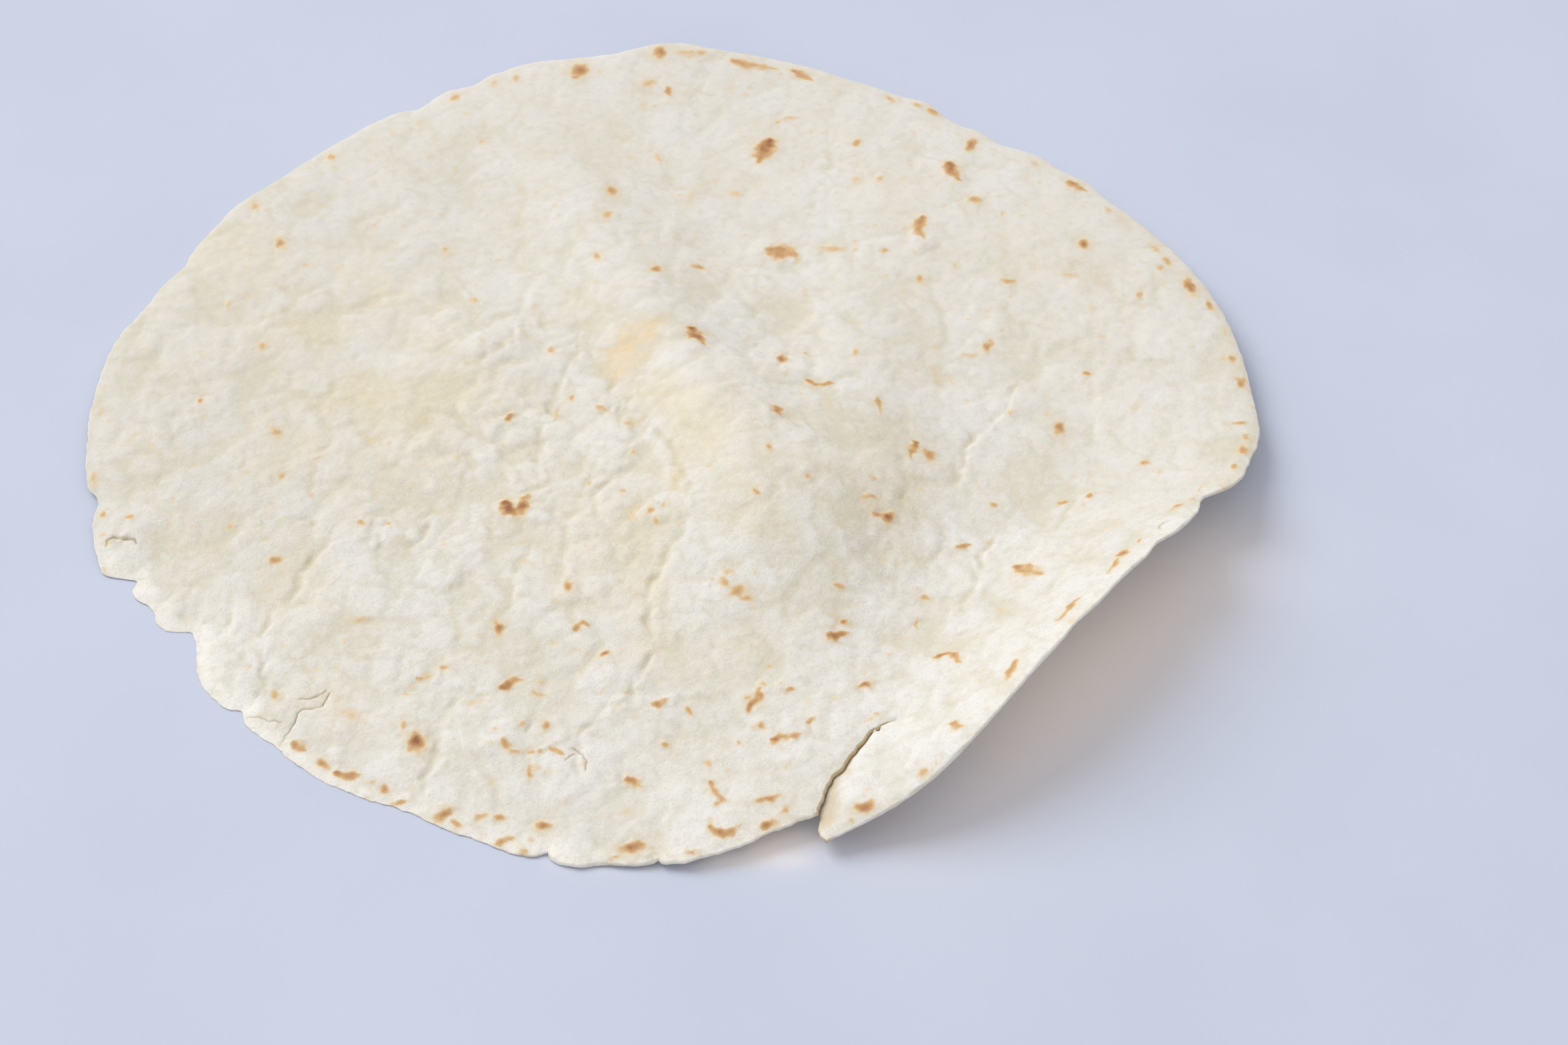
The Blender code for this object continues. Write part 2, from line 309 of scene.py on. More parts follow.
# ------------------------------------------------------------ creases and cracks
# Width, depth, lip, then the points it runs through. The lip raises the side to the
# left of the way it runs, and fades out over a few millimetres.
CREASES = (
    # right of the middle, where the front of the sheet has been bent
    (0.8, 0.36, 0.34, ((3.6, -33), (1.8, -38), (-0.6, -44), (-1.8, -50), (-1.6, -57), (-0.8, -61))),
    (0.7, 0.30, 0.10, ((-0.8, -61), (-2.8, -66), (-4.2, -70), (-5.6, -72.3), (-8.2, -73.2))),
    (0.6, 0.22, 0.05, ((-8.2, -73.2), (-10.4, -76.5), (-11.2, -81), (-10.0, -87))),
    (0.9, 0.26, 0.10, ((-4.5, -9), (-1.8, -14), (0.8, -19), (2.4, -25), (3.4, -31))),
    (0.8, 0.18, 0.12, ((26, -42), (30.5, -40), (34, -35.5), (36.8, -29), (37.6, -21))),
    (0.7, 0.14, 0.06, ((24.5, -20), (20, -25), (16.5, -29), (15.6, -34))),
    (0.7, 0.18, 0.10, ((10.6, -70), (12.4, -73.6), (15.4, -77.2))),
    (0.6, 0.16, 0.06, ((22, -68), (24.6, -66.3), (28, -64.8))),
    (0.6, 0.16, 0.08, ((12.2, -63), (12.4, -60.2), (14.6, -59.2), (17.0, -60.6), (18, -63))),
    (0.7, 0.18, 0.00, ((26, -42), (22, -46), (19.5, -51), (18.8, -57))),
    # left of the middle, running down from the ridge
    (0.9, 0.20, 0.16, ((-18, 14), (-19.6, 7), (-21.4, 0), (-22.6, -8), (-23.0, -18), (-21.4, -26))),
    (0.9, 0.18, 0.10, ((-38.6, 3), (-38.4, -4), (-36.8, -11), (-34.2, -20), (-33, -26))),
    (0.9, 0.22, 0.06, ((-27, 17), (-31, 12), (-35.5, 6), (-38.6, 3))),
    (0.8, 0.16, 0.10, ((-12.4, -15), (-13.6, -21), (-15.6, -29), (-16.8, -38), (-16.5, -46), (-17.2, -51))),
    (0.8, 0.22, 0.10, ((-6.5, -20), (-10, -24), (-12.4, -28.5), (-11, -34))),
    (0.8, 0.20, 0.10, ((-10.4, 4), (-12.2, -1), (-14.4, -4.2))),
    (0.8, 0.20, 0.08, ((-6.8, -2.5), (-9, -4.8), (-9.8, -8.6), (-8.6, -12.4))),
    (0.8, 0.14, 0.06, ((-26.4, 27), (-26, 20), (-24.4, 14), (-25.6, 7), (-27.4, 1))),
    (0.8, 0.18, 0.06, ((-2, -36), (-5.4, -42), (-7.6, -49))),
    (0.7, 0.20, 0.12, ((-39.8, -33), (-40.4, -37.4), (-42.6, -40.6))),
    (0.7, 0.20, 0.12, ((-45.8, -33.4), (-47.2, -37), (-46.6, -40.2))),
    (0.9, 0.22, 0.14, ((-22, -40), (-24.2, -46), (-24.8, -52))),
    # far left
    (0.9, 0.34, 0.26, ((-54.4, -37), (-57, -41.4), (-58.2, -46), (-59.4, -52.5))),
    (0.7, 0.20, 0.04, ((-64, -34.4), (-59, -33.8), (-54.4, -37))),
    (0.9, 0.20, 0.08, ((-59.4, -14), (-60, -21), (-59.6, -28.4))),
    (0.9, 0.18, 0.06, ((-60, 2), (-60.4, -4), (-63.4, -8.6))),
    (0.8, 0.18, 0.06, ((-78.6, -5), (-80.6, -8.4), (-87.6, -9.8))),
    (0.8, 0.20, 0.12, ((-67.6, -52), (-68.6, -57.5), (-66, -62.8), (-63.4, -64.4))),
    (0.7, 0.22, 0.12, ((-61.6, -52.5), (-62.4, -60), (-61.4, -66), (-61.6, -71), (-64.4, -74))),
    (0.7, 0.16, 0.04, ((-60, -63), (-56.6, -65.6), (-53.4, -66.4))),
    (0.8, 0.26, 0.14, ((-28, -70), (-31, -72.6), (-33, -78), (-33.6, -86), (-34.4, -92.4))),
    (0.7, 0.18, 0.06, ((-27, -80), (-26, -84), (-23.4, -88.6), (-21.4, -93))),
    # right half
    (0.9, 0.20, 0.20, ((59.6, 8), (57, 3.4), (54.6, -2), (52.4, -6.6), (49, -10.4), (47.8, -16), (46.4, -22))),
    (0.8, 0.12, 0.10, ((73, 27), (71.6, 16), (71.2, 6), (71, -4), (69.4, -14))),
    (0.9, 0.16, 0.06, ((46, 55), (46.4, 47), (43.4, 38), (43.6, 30), (46, 22), (45.2, 13), (44, 4))),
    (0.8, 0.18, 0.08, ((54, 26.6), (58.6, 23), (60, 17.6), (58, 13))),
    (0.9, 0.26, 0.16, ((53.4, -31), (51, -37.6), (49.6, -44.4), (47.6, -50), (48, -54))),
    (0.8, 0.16, 0.06, ((88, 34), (84.6, 31), (82, 26.5))),
    (0.8, 0.16, 0.06, ((67, -21), (66, -26.6), (62.6, -33))),
    # back
    (1.2, 0.22, 0.06, ((24.6, 76), (25, 68), (22.4, 58), (21.6, 50))),
    (1.2, 0.20, 0.06, ((-1.2, 92), (-1.8, 84), (-0.4, 77))),
    (1.1, 0.20, 0.06, ((-46.6, 52), (-47, 46), (-49.6, 40))),
    (1.1, 0.18, 0.06, ((-66, 58), (-68.4, 50), (-71.6, 44))),
    (1.1, 0.16, 0.04, ((-33, 60), (-32, 52), (-31.6, 44))),
)
# The same for the cracks, which are narrow and go deep.
CRACKS = (
    (0.13, 0.45, 0.10, ((-91.4, -40.4), (-91.2, -38.7), (-90.2, -38.2), (-88.6, -38.6), (-86.8, -38.9), (-86.2, -40))),
    (0.11, 0.20, 0.06, ((-64.6, -75.4), (-62.6, -74.9), (-60.6, -75.0), (-58.8, -75.6), (-56.6, -76.0))),
    (0.12, 0.36, 0.26, ((-50.0, -70.3), (-51.2, -73.2), (-54.2, -73.8), (-55.0, -76.4), (-56.2, -79.0), (-57.2, -81.6))),
    (0.12, 0.25, 0.05, ((-50.6, -70.2), (-52.6, -71.4), (-55.0, -72.0))),
    (0.11, 0.22, 0.05, ((-12.4, -80.6), (-11.0, -81.2), (-9.8, -83.4), (-9.8, -85.2))),
    (0.10, 0.16, 0.05, ((-13.0, -83.2), (-11.6, -81.4))),
    (0.11, 0.25, 0.05, ((78.6, -42.2), (78.9, -40.6), (80.4, -39.4))),
)

# Raised plates: x, y, long half, short half, direction, height, squareness.
PLATES = (
    (-26.2, -31.6, 7.0, 5.0, 68.0, 0.30, 4),
    (-15.6, -49.0, 3.2, 2.2, 80.0, 0.22, 4),
    (-50.0, -47.0, 9.0, 7.0, 60.0, 0.18, 4),
    (-44.0, -37.0, 3.6, 2.6, 80.0, 0.20, 4),
    (-36.0, -45.0, 7.0, 4.4, 70.0, 0.20, 4),
    (-65.6, -58.0, 8.0, 3.2, 108.0, 0.24, 4),
    (-66.4, -69.0, 6.0, 3.4, 126.0, 0.22, 4),
    (-56.0, -56.0, 5.0, 3.6, 90.0, 0.16, 4),
    (8.4, -45.0, 12.0, 6.6, 84.0, 0.16, 4),
    (5.0, -54.0, 7.0, 4.2, 60.0, 0.12, 4),
    (14.6, -61.4, 3.0, 2.6, 30.0, 0.16, 4),
    (14.6, -71.0, 4.4, 2.6, 74.0, 0.18, 4),
    (58.0, -8.0, 12.0, 7.0, 74.0, 0.16, 4),
    (78.0, -6.0, 12.0, 6.0, 80.0, 0.14, 4),
    (44.6, -31.6, 7.0, 5.0, 40.0, 0.18, 4),
    (26.0, -35.0, 5.6, 3.8, 60.0, 0.20, 4),
    (59.0, -44.6, 5.0, 3.6, 130.0, 0.16, 4),
    (-8.6, -17.0, 5.0, 3.2, 80.0, 0.22, 4),
    (-15.0, -2.0, 5.6, 3.4, 74.0, 0.24, 4),
    (-31.0, -7.0, 7.0, 4.4, 84.0, 0.24, 4),
    (-27.6, -18.0, 5.6, 3.2, 76.0, 0.22, 4),
    (-44.0, -12.0, 6.4, 4.2, 60.0, 0.20, 4),
    (-62.0, -4.0, 6.4, 4.0, 100.0, 0.18, 4),
    (-55.0, -19.0, 5.6, 4.0, 80.0, 0.18, 4),
    (-22.0, -81.5, 6.0, 3.0, 4.0, 0.16, 4),
    (-25.0, -76.0, 6.0, 5.0, 20.0, 0.16, 4),
    (-35.6, -80.0, 4.0, 3.4, 60.0, 0.18, 4),
    (54.0, 18.0, 6.0, 4.0, 40.0, 0.16, 4),
    (17.0, 40.0, 5.4, 3.6, 0.0, 0.22, 4),
    (12.0, 70.0, 4.6, 3.2, 74.0, 0.24, 4),
    (48.0, 64.0, 5.0, 3.4, 100.0, 0.26, 4),
    (42.0, 46.0, 4.6, 3.0, 96.0, 0.22, 4),
    (-69.0, 20.0, 7.0, 4.4, 60.0, 0.14, 4),
    (-41.0, 20.0, 4.4, 2.6, 20.0, 0.20, 4),
)

# ------------------------------------------------------------ toast marks
# x, y, long half, short half, direction, tone: 0.3 is a faint tan and 1 a dark brown.
SPOTS = (
    # back rim
    (-25.0, 93.0, 1.9, 1.5, 80, 0.95), (-25.8, 90.8, 0.8, 0.6, 0, 0.60),
    (-9.4, 99.0, 1.7, 1.2, 100, 0.85), (-4.4, 99.4, 2.8, 0.9, 0, 0.40),
    (-1.4, 99.5, 0.9, 0.8, 0, 0.50), (-11.0, 89.8, 1.6, 1.1, 20, 0.45),
    (-7.2, 87.6, 1.4, 0.8, 100, 0.65), (-12.0, 83.0, 1.6, 0.7, 100, 0.30),
    (5.0, 89.0, 1.0, 0.8, 0, 0.25), (-37.3, 89.7, 1.6, 0.8, 100, 0.45),
    (-41.5, 88.0, 1.5, 0.8, 80, 0.35), (-48.6, 83.6, 1.4, 1.0, 90, 0.50),
    (36.4, 88.4, 1.7, 0.8, 130, 0.45), (41.5, 86.8, 1.1, 0.8, 150, 0.45),
    (44.6, 85.2, 1.4, 1.0, 130, 0.60), (30.0, 72.7, 1.3, 0.8, 90, 0.65),
    (51.7, 74.0, 2.2, 0.9, 74, 0.90), (52.0, 55.3, 1.3, 1.0, 0, 0.65),
    (57.0, 51.3, 1.0, 0.5, 90, 0.35), (71.7, 42.6, 1.4, 0.9, 90, 0.90),
    (64.0, 69.0, 1.5, 0.8, 110, 0.35), (62.0, 64.0, 1.5, 0.8, 80, 0.22),
    (30.0, 61.0, 1.3, 1.1, 100, 0.34), (34.3, 61.0, 1.3, 0.9, 80, 0.36),
    (40.0, 60.5, 1.0, 0.7, 0, 0.20), (7.0, 57.0, 1.7, 1.2, 0, 0.36),
    (17.0, 80.5, 2.3, 0.8, 10, 0.34), (14.6, 79.3, 0.9, 0.7, 60, 0.42),
    (10.0, 79.0, 1.4, 1.0, 90, 0.18), (41.5, 73.0, 0.9, 0.7, 90, 0.22),
    (-16.2, 54.0, 1.7, 1.0, 104, 0.66), (-16.3, 45.6, 1.3, 0.9, 90, 0.50),
    (-8.0, 67.0, 1.9, 0.7, 112, 0.38), (-1.2, 55.2, 2.6, 0.7, 76, 0.30),
    (1.0, 59.8, 2.0, 0.7, 20, 0.22), (-41.8, 69.5, 1.3, 0.7, 90, 0.34),
    (-54.5, 75.3, 1.6, 0.8, 90, 0.30), (-51.0, 70.0, 1.8, 0.7, 96, 0.24),
    (-70.0, 64.0, 1.3, 0.9, 90, 0.50), (-82.0, 48.5, 1.8, 0.8, 110, 0.42),
    (-73.5, 48.0, 1.6, 0.6, 100, 0.24), (-75.5, 37.5, 1.4, 0.8, 100, 0.75),
    (-45.2, 37.4, 1.1, 0.7, 100, 0.42), (-81.6, 20.0, 1.0, 0.5, 100, 0.50),
    (-78.5, 22.5, 0.9, 0.8, 0, 0.25), (-73.8, 9.0, 1.3, 0.8, 112, 0.52),
    (-38.2, 23.0, 1.2, 0.8, 100, 0.36), (-27.4, 21.2, 0.8, 0.6, 90, 0.25),
    (-23.3, 9.5, 0.9, 0.8, 0, 0.50), (-4.0, 41.0, 1.0, 0.6, 90, 0.22),
    # right of the ridge
    (25.4, 41.0, 2.9, 0.9, -6, 0.42), (35.0, 40.0, 0.9, 0.8, 0, 0.50),
    (1.0, 32.7, 1.5, 0.8, 0, 0.60), (4.6, 32.8, 1.0, 0.6, 0, 0.22),
    (-6.3, 29.4, 1.1, 0.8, 60, 0.76), (-16.6, 33.7, 1.0, 0.7, 110, 0.62),
    (-16.4, 27.0, 0.8, 0.6, 150, 0.32), (48.0, 37.0, 0.9, 0.5, 70, 0.34),
    (41.5, 32.8, 1.1, 0.7, 90, 0.52), (37.8, 27.0, 0.9, 0.6, 90, 0.24),
    (39.6, 24.0, 1.0, 0.6, 120, 0.24), (57.7, 32.7, 1.3, 0.8, 0, 0.52),
    (62.3, 35.8, 1.5, 0.7, 90, 0.24), (68.6, 34.0, 1.9, 0.7, -8, 0.36),
    (73.8, 32.5, 0.9, 0.7, 0, 0.24), (81.0, 28.5, 1.5, 0.7, 80, 0.50),
    (20.8, 28.0, 2.0, 0.5, 96, 0.30), (14.0, 24.0, 2.0, 1.3, 0, 0.18),
    (23.0, 17.0, 1.5, 0.6, 100, 0.24), (53.4, 15.4, 1.7, 0.8, 62, 0.62),
    (50.0, 12.9, 1.9, 0.7, 5, 0.36), (43.6, 8.0, 2.2, 0.6, 96, 0.30),
    (46.7, 5.4, 1.1, 0.5, 100, 0.28), (39.0, 4.0, 1.3, 0.6, 10, 0.24),
    (70.5, 8.8, 0.8, 0.7, 0, 0.66), (56.7, -2.0, 0.7, 0.5, 90, 0.40),
    (77.7, -1.0, 1.0, 0.5, 90, 0.28), (30.0, 10.3, 1.2, 0.4, 84, 0.52),
    (21.2, 9.7, 0.5, 0.5, 0, 0.40), (17.0, 7.2, 1.3, 0.9, 90, 0.76),
    (33.5, -4.0, 1.5, 0.6, 96, 0.72), (25.2, -4.6, 3.4, 0.9, 100, 0.22),
    (16.3, -9.5, 1.2, 0.9, 90, 0.96), (42.0, -14.0, 1.6, 1.2, 90, 0.66),
    (65.0, -4.8, 1.5, 0.8, 96, 0.78), (65.6, -8.0, 1.0, 0.4, 90, 0.32),
    (79.2, -15.5, 0.9, 0.8, 0, 0.56), (81.0, -19.5, 1.2, 0.4, 76, 0.38),
    (69.5, -23.4, 1.0, 0.7, 100, 0.62), (68.3, -26.0, 1.0, 0.4, 70, 0.38),
    (65.0, -24.0, 0.8, 0.6, 20, 0.66), (53.0, -24.2, 0.7, 0.6, 0, 0.54),
    (72.7, -34.8, 0.9, 0.5, 90, 0.28), (60.8, -35.0, 0.7, 0.3, 90, 0.24),
    # right rim
    (77.0, 54.5, 1.1, 0.8, 120, 0.36), (79.2, 51.2, 1.3, 0.6, 120, 0.24),
    (84.7, 42.4, 1.6, 0.8, 116, 0.42), (86.6, 38.6, 1.5, 1.0, 116, 0.46),
    (85.2, 36.0, 1.0, 0.8, 90, 0.44), (90.2, 31.3, 2.3, 0.9, 100, 0.95),
    (93.2, 26.0, 1.3, 0.8, 104, 0.66), (95.4, 19.0, 1.5, 0.4, 96, 0.36),
    (96.0, 12.0, 1.1, 0.8, 96, 0.66), (97.0, 5.8, 1.3, 0.9, 90, 0.70),
    (95.8, -5.3, 1.1, 0.6, 10, 0.60), (93.4, -5.6, 0.9, 0.6, 0, 0.28),
    (96.5, -9.5, 0.8, 0.6, 90, 0.56), (95.3, -13.5, 1.1, 0.8, 80, 0.70),
    (93.0, -20.0, 1.4, 0.6, 76, 0.56), (91.0, -28.2, 1.8, 0.9, 66, 0.56),
    (86.6, -27.2, 1.7, 0.3, 60, 0.34), (84.8, -31.0, 0.9, 0.4, 60, 0.34),
    (82.2, -33.8, 1.7, 0.6, 52, 0.56), (75.2, -44.3, 1.1, 0.35, 66, 0.60),
    (72.3, -47.9, 1.1, 0.8, 60, 0.88), (54.3, -72.5, 2.2, 0.5, 68, 0.76),
    (40.9, -88.3, 0.9, 0.5, 100, 0.66), (42.8, -87.3, 0.7, 0.3, 70, 0.40),
    (32.2, -92.1, 1.4, 0.65, 0, 1.00), (30.2, -94.0, 0.5, 0.4, 0, 0.40),
    (26.8, -93.3, 0.7, 0.4, 20, 0.34), (53.8, -54.2, 1.7, 0.4, 112, 0.34),
    # front, between the ridge and the tear
    (7.7, -48.0, 0.6, 0.5, 0, 0.36), (10.1, -46.9, 1.0, 0.6, 60, 0.44),
    (9.6, -48.9, 1.2, 0.8, 110, 0.52), (11.6, -50.4, 1.5, 1.1, 150, 0.62),
    (13.2, -51.7, 1.0, 0.6, 0, 0.52), (-22.2, -80.3, 1.0, 0.6, 110, 0.62),
    (-20.5, -81.6, 1.0, 0.5, 0, 0.56), (-18.4, -81.4, 0.7, 0.4, 0, 0.50),
    (-16.9, -81.4, 0.5, 0.4, 0, 0.56),
    (41.5, -47.6, 0.8, 0.6, 0, 0.56), (40.1, -53.5, 1.2, 0.4, 84, 0.56),
    (33.0, -31.2, 0.8, 0.7, 0, 0.90), (34.7, -31.3, 1.1, 0.8, 60, 1.00),
    (31.7, -28.0, 1.2, 0.6, 10, 0.50), (32.4, -23.7, 0.5, 0.4, 0, 0.36),
    (21.8, -27.0, 0.7, 0.5, 90, 0.44), (6.8, -24.2, 0.6, 0.5, 0, 0.40),
    (13.7, -31.2, 0.9, 0.5, 120, 0.60), (15.5, -21.2, 0.9, 0.5, 100, 0.60),
    (28.2, -54.8, 0.7, 0.6, 0, 0.86), (25.6, -53.5, 1.3, 0.4, 0, 0.30),
    (27.0, -47.8, 0.7, 0.6, 0, 0.56), (27.4, -45.0, 0.5, 0.4, 0, 0.30),
    (18.6, -54.0, 0.6, 0.4, 0, 0.28), (20.2, -56.6, 0.6, 0.3, 110, 0.30),
    (32.0, -67.7, 0.9, 0.6, 10, 0.96), (20.2, -69.0, 0.7, 0.5, 0, 0.76),
    (17.0, -64.2, 0.6, 0.4, 0, 0.54), (16.3, -67.7, 0.7, 0.5, 120, 0.46),
    (19.0, -67.7, 0.4, 0.3, 0, 0.40), (5.2, -73.1, 0.7, 0.5, 130, 0.66),
    (1.8, -79.4, 0.8, 0.5, 0, 0.62), (13.0, -79.0, 0.4, 0.4, 0, 0.60),
    (16.3, -76.0, 0.8, 0.6, 110, 0.52), (23.7, -75.0, 1.0, 0.5, 30, 0.56),
    (18.2, -79.3, 0.9, 0.4, 0, 0.50), (8.7, -83.0, 0.7, 0.5, 40, 0.40),
    (16.0, -84.0, 0.6, 0.4, 20, 0.32), (20.4, -83.7, 0.7, 0.4, 30, 0.32),
    (18.0, -83.0, 0.5, 0.4, 0, 0.30), (17.9, -90.1, 1.6, 0.5, 14, 0.78),
    (17.8, -94.6, 1.3, 0.6, 28, 0.86), (20.3, -92.0, 0.9, 0.4, 44, 0.60),
    (7.0, -99.4, 1.2, 0.4, 0, 0.50), (-1.7, -98.3, 1.8, 0.8, 6, 0.86),
    (-4.4, -99.9, 1.2, 0.4, 30, 0.50), (-3.5, -92.0, 1.4, 0.5, 20, 0.30),
    (-4.9, -93.4, 0.7, 0.3, 0, 0.26), (33.0, -74.8, 0.8, 0.4, 20, 0.34),
    (34.2, -74.0, 0.5, 0.4, 0, 0.46), (39.2, -81.2, 0.5, 0.3, 90, 0.30),
    (37.0, -57.4, 1.6, 0.6, 10, 0.22),
    # front rim, left of the middle
    (-15.3, -94.7, 0.9, 0.8, 20, 0.92), (-30.3, -92.6, 1.3, 0.9, 40, 0.86),
    (-28.3, -94.1, 0.9, 0.5, 140, 0.74), (-24.6, -93.0, 1.2, 0.5, 20, 0.50),
    (-21.9, -93.1, 0.8, 0.5, 150, 0.72), (-17.9, -98.8, 0.9, 0.4, 150, 0.50),
    (-16.8, -97.0, 0.5, 0.5, 0, 0.34), (-18.0, -85.3, 1.1, 0.5, 100, 0.62),
    (-15.9, -85.3, 0.5, 0.4, 0, 0.36), (-23.4, -86.5, 0.7, 0.5, 0, 0.30),
    (-22.6, -88.3, 0.7, 0.4, 0, 0.30), (-23.8, -77.5, 0.6, 0.5, 0, 0.30),
    (-20.0, -76.4, 0.8, 0.6, 20, 0.50), (-16.5, -76.2, 1.1, 0.6, 96, 0.66),
    (-26.6, -71.8, 0.7, 0.5, 0, 0.34), (-17.8, -67.8, 0.6, 0.4, 0, 0.42),
    (-35.8, -80.2, 1.7, 1.2, 100, 0.96), (-38.0, -77.0, 1.0, 0.6, 90, 0.46),
    (-25.6, -57.0, 1.2, 0.7, 116, 0.92), (-15.3, -48.8, 1.2, 0.7, 84, 0.76),
    (-8.5, -62.4, 0.7, 0.5, 20, 0.96), (-13.2, -61.5, 1.0, 0.5, 0, 0.30),
    (-11.0, -62.4, 0.9, 0.4, 30, 0.28), (-33.2, -65.1, 0.7, 0.5, 0, 0.62),
    (-38.5, -70.5, 0.8, 0.4, 0, 0.40), (-39.5, -88.2, 0.8, 0.7, 90, 0.70),
    (-37.3, -90.5, 1.0, 0.4, 10, 0.60), (-41.6, -86.9, 0.8, 0.5, 0, 0.40),
    (-49.4, -83.8, 1.0, 0.6, 140, 0.78), (-58.7, -70.8, 1.0, 0.6, 110, 0.50),
    (-59.3, -73.5, 0.5, 0.5, 0, 0.30), (-46.4, -75.0, 3.2, 1.5, 154, 0.28), (-44.4, -75.8, 1.2, 0.8, 154, 0.22),
    (-42.2, -75.2, 0.6, 0.5, 0, 0.28), (-48.0, -55.6, 2.0, 0.6, 10, 0.36),
    (-31.9, -58.5, 0.5, 0.5, 0, 0.24),
    # left
    (-6.9, -16.9, 0.5, 0.5, 0, 0.56), (-8.0, -9.7, 1.0, 0.9, 0, 0.50),
    (-18.5, -2.7, 0.7, 0.5, 90, 0.52), (-29.0, -8.0, 0.9, 0.6, 70, 0.82),
    (-20.7, -7.0, 1.6, 0.3, 90, 0.46), (-19.0, -18.6, 0.6, 0.4, 90, 0.30),
    (-13.8, -24.6, 1.1, 0.4, 104, 0.36), (-7.9, -27.2, 0.6, 0.5, 120, 0.42),
    (-5.2, -31.0, 2.0, 1.2, 20, 0.26), (-2.9, -32.2, 1.0, 0.8, 60, 0.60),
    (-6.0, -33.5, 1.1, 0.8, 0, 0.30), (-1.9, -34.6, 0.9, 0.5, 110, 0.48),
    (-0.7, -31.0, 0.6, 0.5, 0, 0.42), (-26.2, -22.0, 0.6, 0.4, 90, 0.28),
    (-47.0, 11.5, 0.8, 0.6, 0, 0.24), (-82.0, -6.0, 0.9, 0.6, 100, 0.62),
    (-68.0, -12.8, 1.4, 0.9, 110, 0.50), (-88.0, -17.6, 1.0, 0.4, 120, 0.30),
    (-51.7, -14.2, 1.3, 0.9, 130, 0.30), (-65.3, -23.5, 1.1, 0.7, 60, 0.46),
    (-96.4, -25.0, 1.5, 0.5, 100, 0.42), (-81.7, -30.0, 0.9, 0.3, 110, 0.36),
    (-89.5, -30.2, 0.5, 0.4, 0, 0.30), (-93.3, -33.0, 0.8, 0.6, 60, 0.50),
    (-88.5, -34.2, 0.9, 0.7, 0, 0.62), (-92.3, -37.6, 0.7, 0.5, 0, 0.40),
    (-71.6, -35.4, 1.3, 0.4, 70, 0.36), (-50.3, -34.1, 1.0, 0.8, 130, 0.50),
    (-45.8, -34.2, 0.6, 0.5, 0, 0.50), (-63.2, -42.8, 1.0, 0.6, 20, 0.66),
    (-90.4, -45.2, 1.0, 0.5, 100, 0.36), (-64.0, -49.0, 2.0, 1.1, 100, 0.18),
    (-98.6, -9.0, 1.6, 0.4, 96, 0.34), (-97.4, 3.0, 1.4, 0.4, 84, 0.30),
    (-42.0, -20.0, 0.8, 0.4, 10, 0.26), (-67.0, -20.0, 0.8, 0.5, 20, 0.28),
)
# Tone, half width, then the points that a longer mark runs through.
STREAKS = (
    (1.00, 1.0, ((-27.5, -29.4), (-26.4, -31.2), (-24.7, -30.8), (-23.8, -27.6))),
    (1.08, 1.5, ((13.2, 73.0), (12.2, 70.2), (11.3, 67.0))),
    (0.92, 1.1, ((47.4, 66.6), (47.9, 63.6), (49.2, 61.2))),
    (0.80, 0.9, ((42.2, 49.4), (41.3, 46.2), (42.4, 43.6))),
    (0.80, 1.7, ((14.6, 39.9), (17.2, 39.8), (18.8, 39.0))),
    (0.98, 0.9, ((0.9, 12.3), (1.8, 10.0), (3.2, 7.8))),
    (0.82, 0.5, ((21.8, 1.6), (23.2, 0.4), (26.2, 0.8))),
    (0.80, 0.6, ((39.8, -11.8), (38.6, -15.6))),
    (0.60, 1.1, ((5.0, 97.6), (8.2, 96.6), (13.6, 96.0))),
    (0.66, 1.0, ((17.4, 95.6), (21.0, 92.6))),
    (0.76, 1.1, ((70.2, 63.3), (73.0, 60.8))),
    (0.96, 0.8, ((14.3, -72.4), (15.2, -70.6), (15.6, -68.9))),
    (0.96, 0.8, ((26.0, -58.2), (27.5, -57.5), (28.6, -57.1))),
    (0.76, 0.6, ((47.0, -35.0), (49.0, -34.4))),
    (0.70, 1.1, ((57.0, -42.0), (58.6, -44.4), (60.7, -46.4))),
    (0.64, 0.3, ((71.6, -49.6), (70.8, -51.2), (69.3, -53.2))),
    (0.64, 0.35, ((64.6, -58.8), (63.0, -61.3), (61.0, -63.6))),
    (0.76, 0.65, ((42.9, -63.0), (44.6, -62.5), (46.1, -63.6), (47.2, -66.5))),
    (0.76, 0.5, ((45.3, -81.0), (46.8, -82.0))),
    (0.76, 0.45, ((17.8, -78.4), (20.4, -78.3), (23.0, -77.3))),
    (0.66, 0.6, ((-0.2, -72.3), (1.6, -71.3))),
    (0.70, 0.5, ((9.1, -86.5), (9.9, -88.6), (11.2, -90.4), (10.0, -91.2))),
    (0.76, 0.5, ((9.6, -95.3), (11.0, -96.5), (12.8, -96.2), (14.2, -94.8))),
    (0.76, 0.7, ((-3.2, -86.0), (-1.5, -87.5))),
    (0.62, 0.5, ((-15.5, -80.6), (-13.3, -81.9))),
    (0.86, 0.6, ((-23.7, -69.0), (-22.5, -67.9), (-20.8, -67.4))),
    (0.46, 0.45, ((-37.0, -67.5), (-34.4, -66.8))),
    (0.46, 0.4, ((-19.3, -69.7), (-17.1, -70.5))),
    (0.70, 0.45, ((-13.6, -57.6), (-12.5, -56.4), (-11.3, -57.0))),
    (0.62, 0.5, ((-22.0, -97.6), (-19.6, -96.5))),
    (0.76, 0.5, ((-54.8, -79.9), (-52.5, -81.1))),
    (0.86, 0.6, ((-47.2, -85.4), (-45.4, -85.8), (-43.6, -86.0))),
    (0.40, 0.7, ((-13.8, -5.0), (-11.6, -6.5))),
)
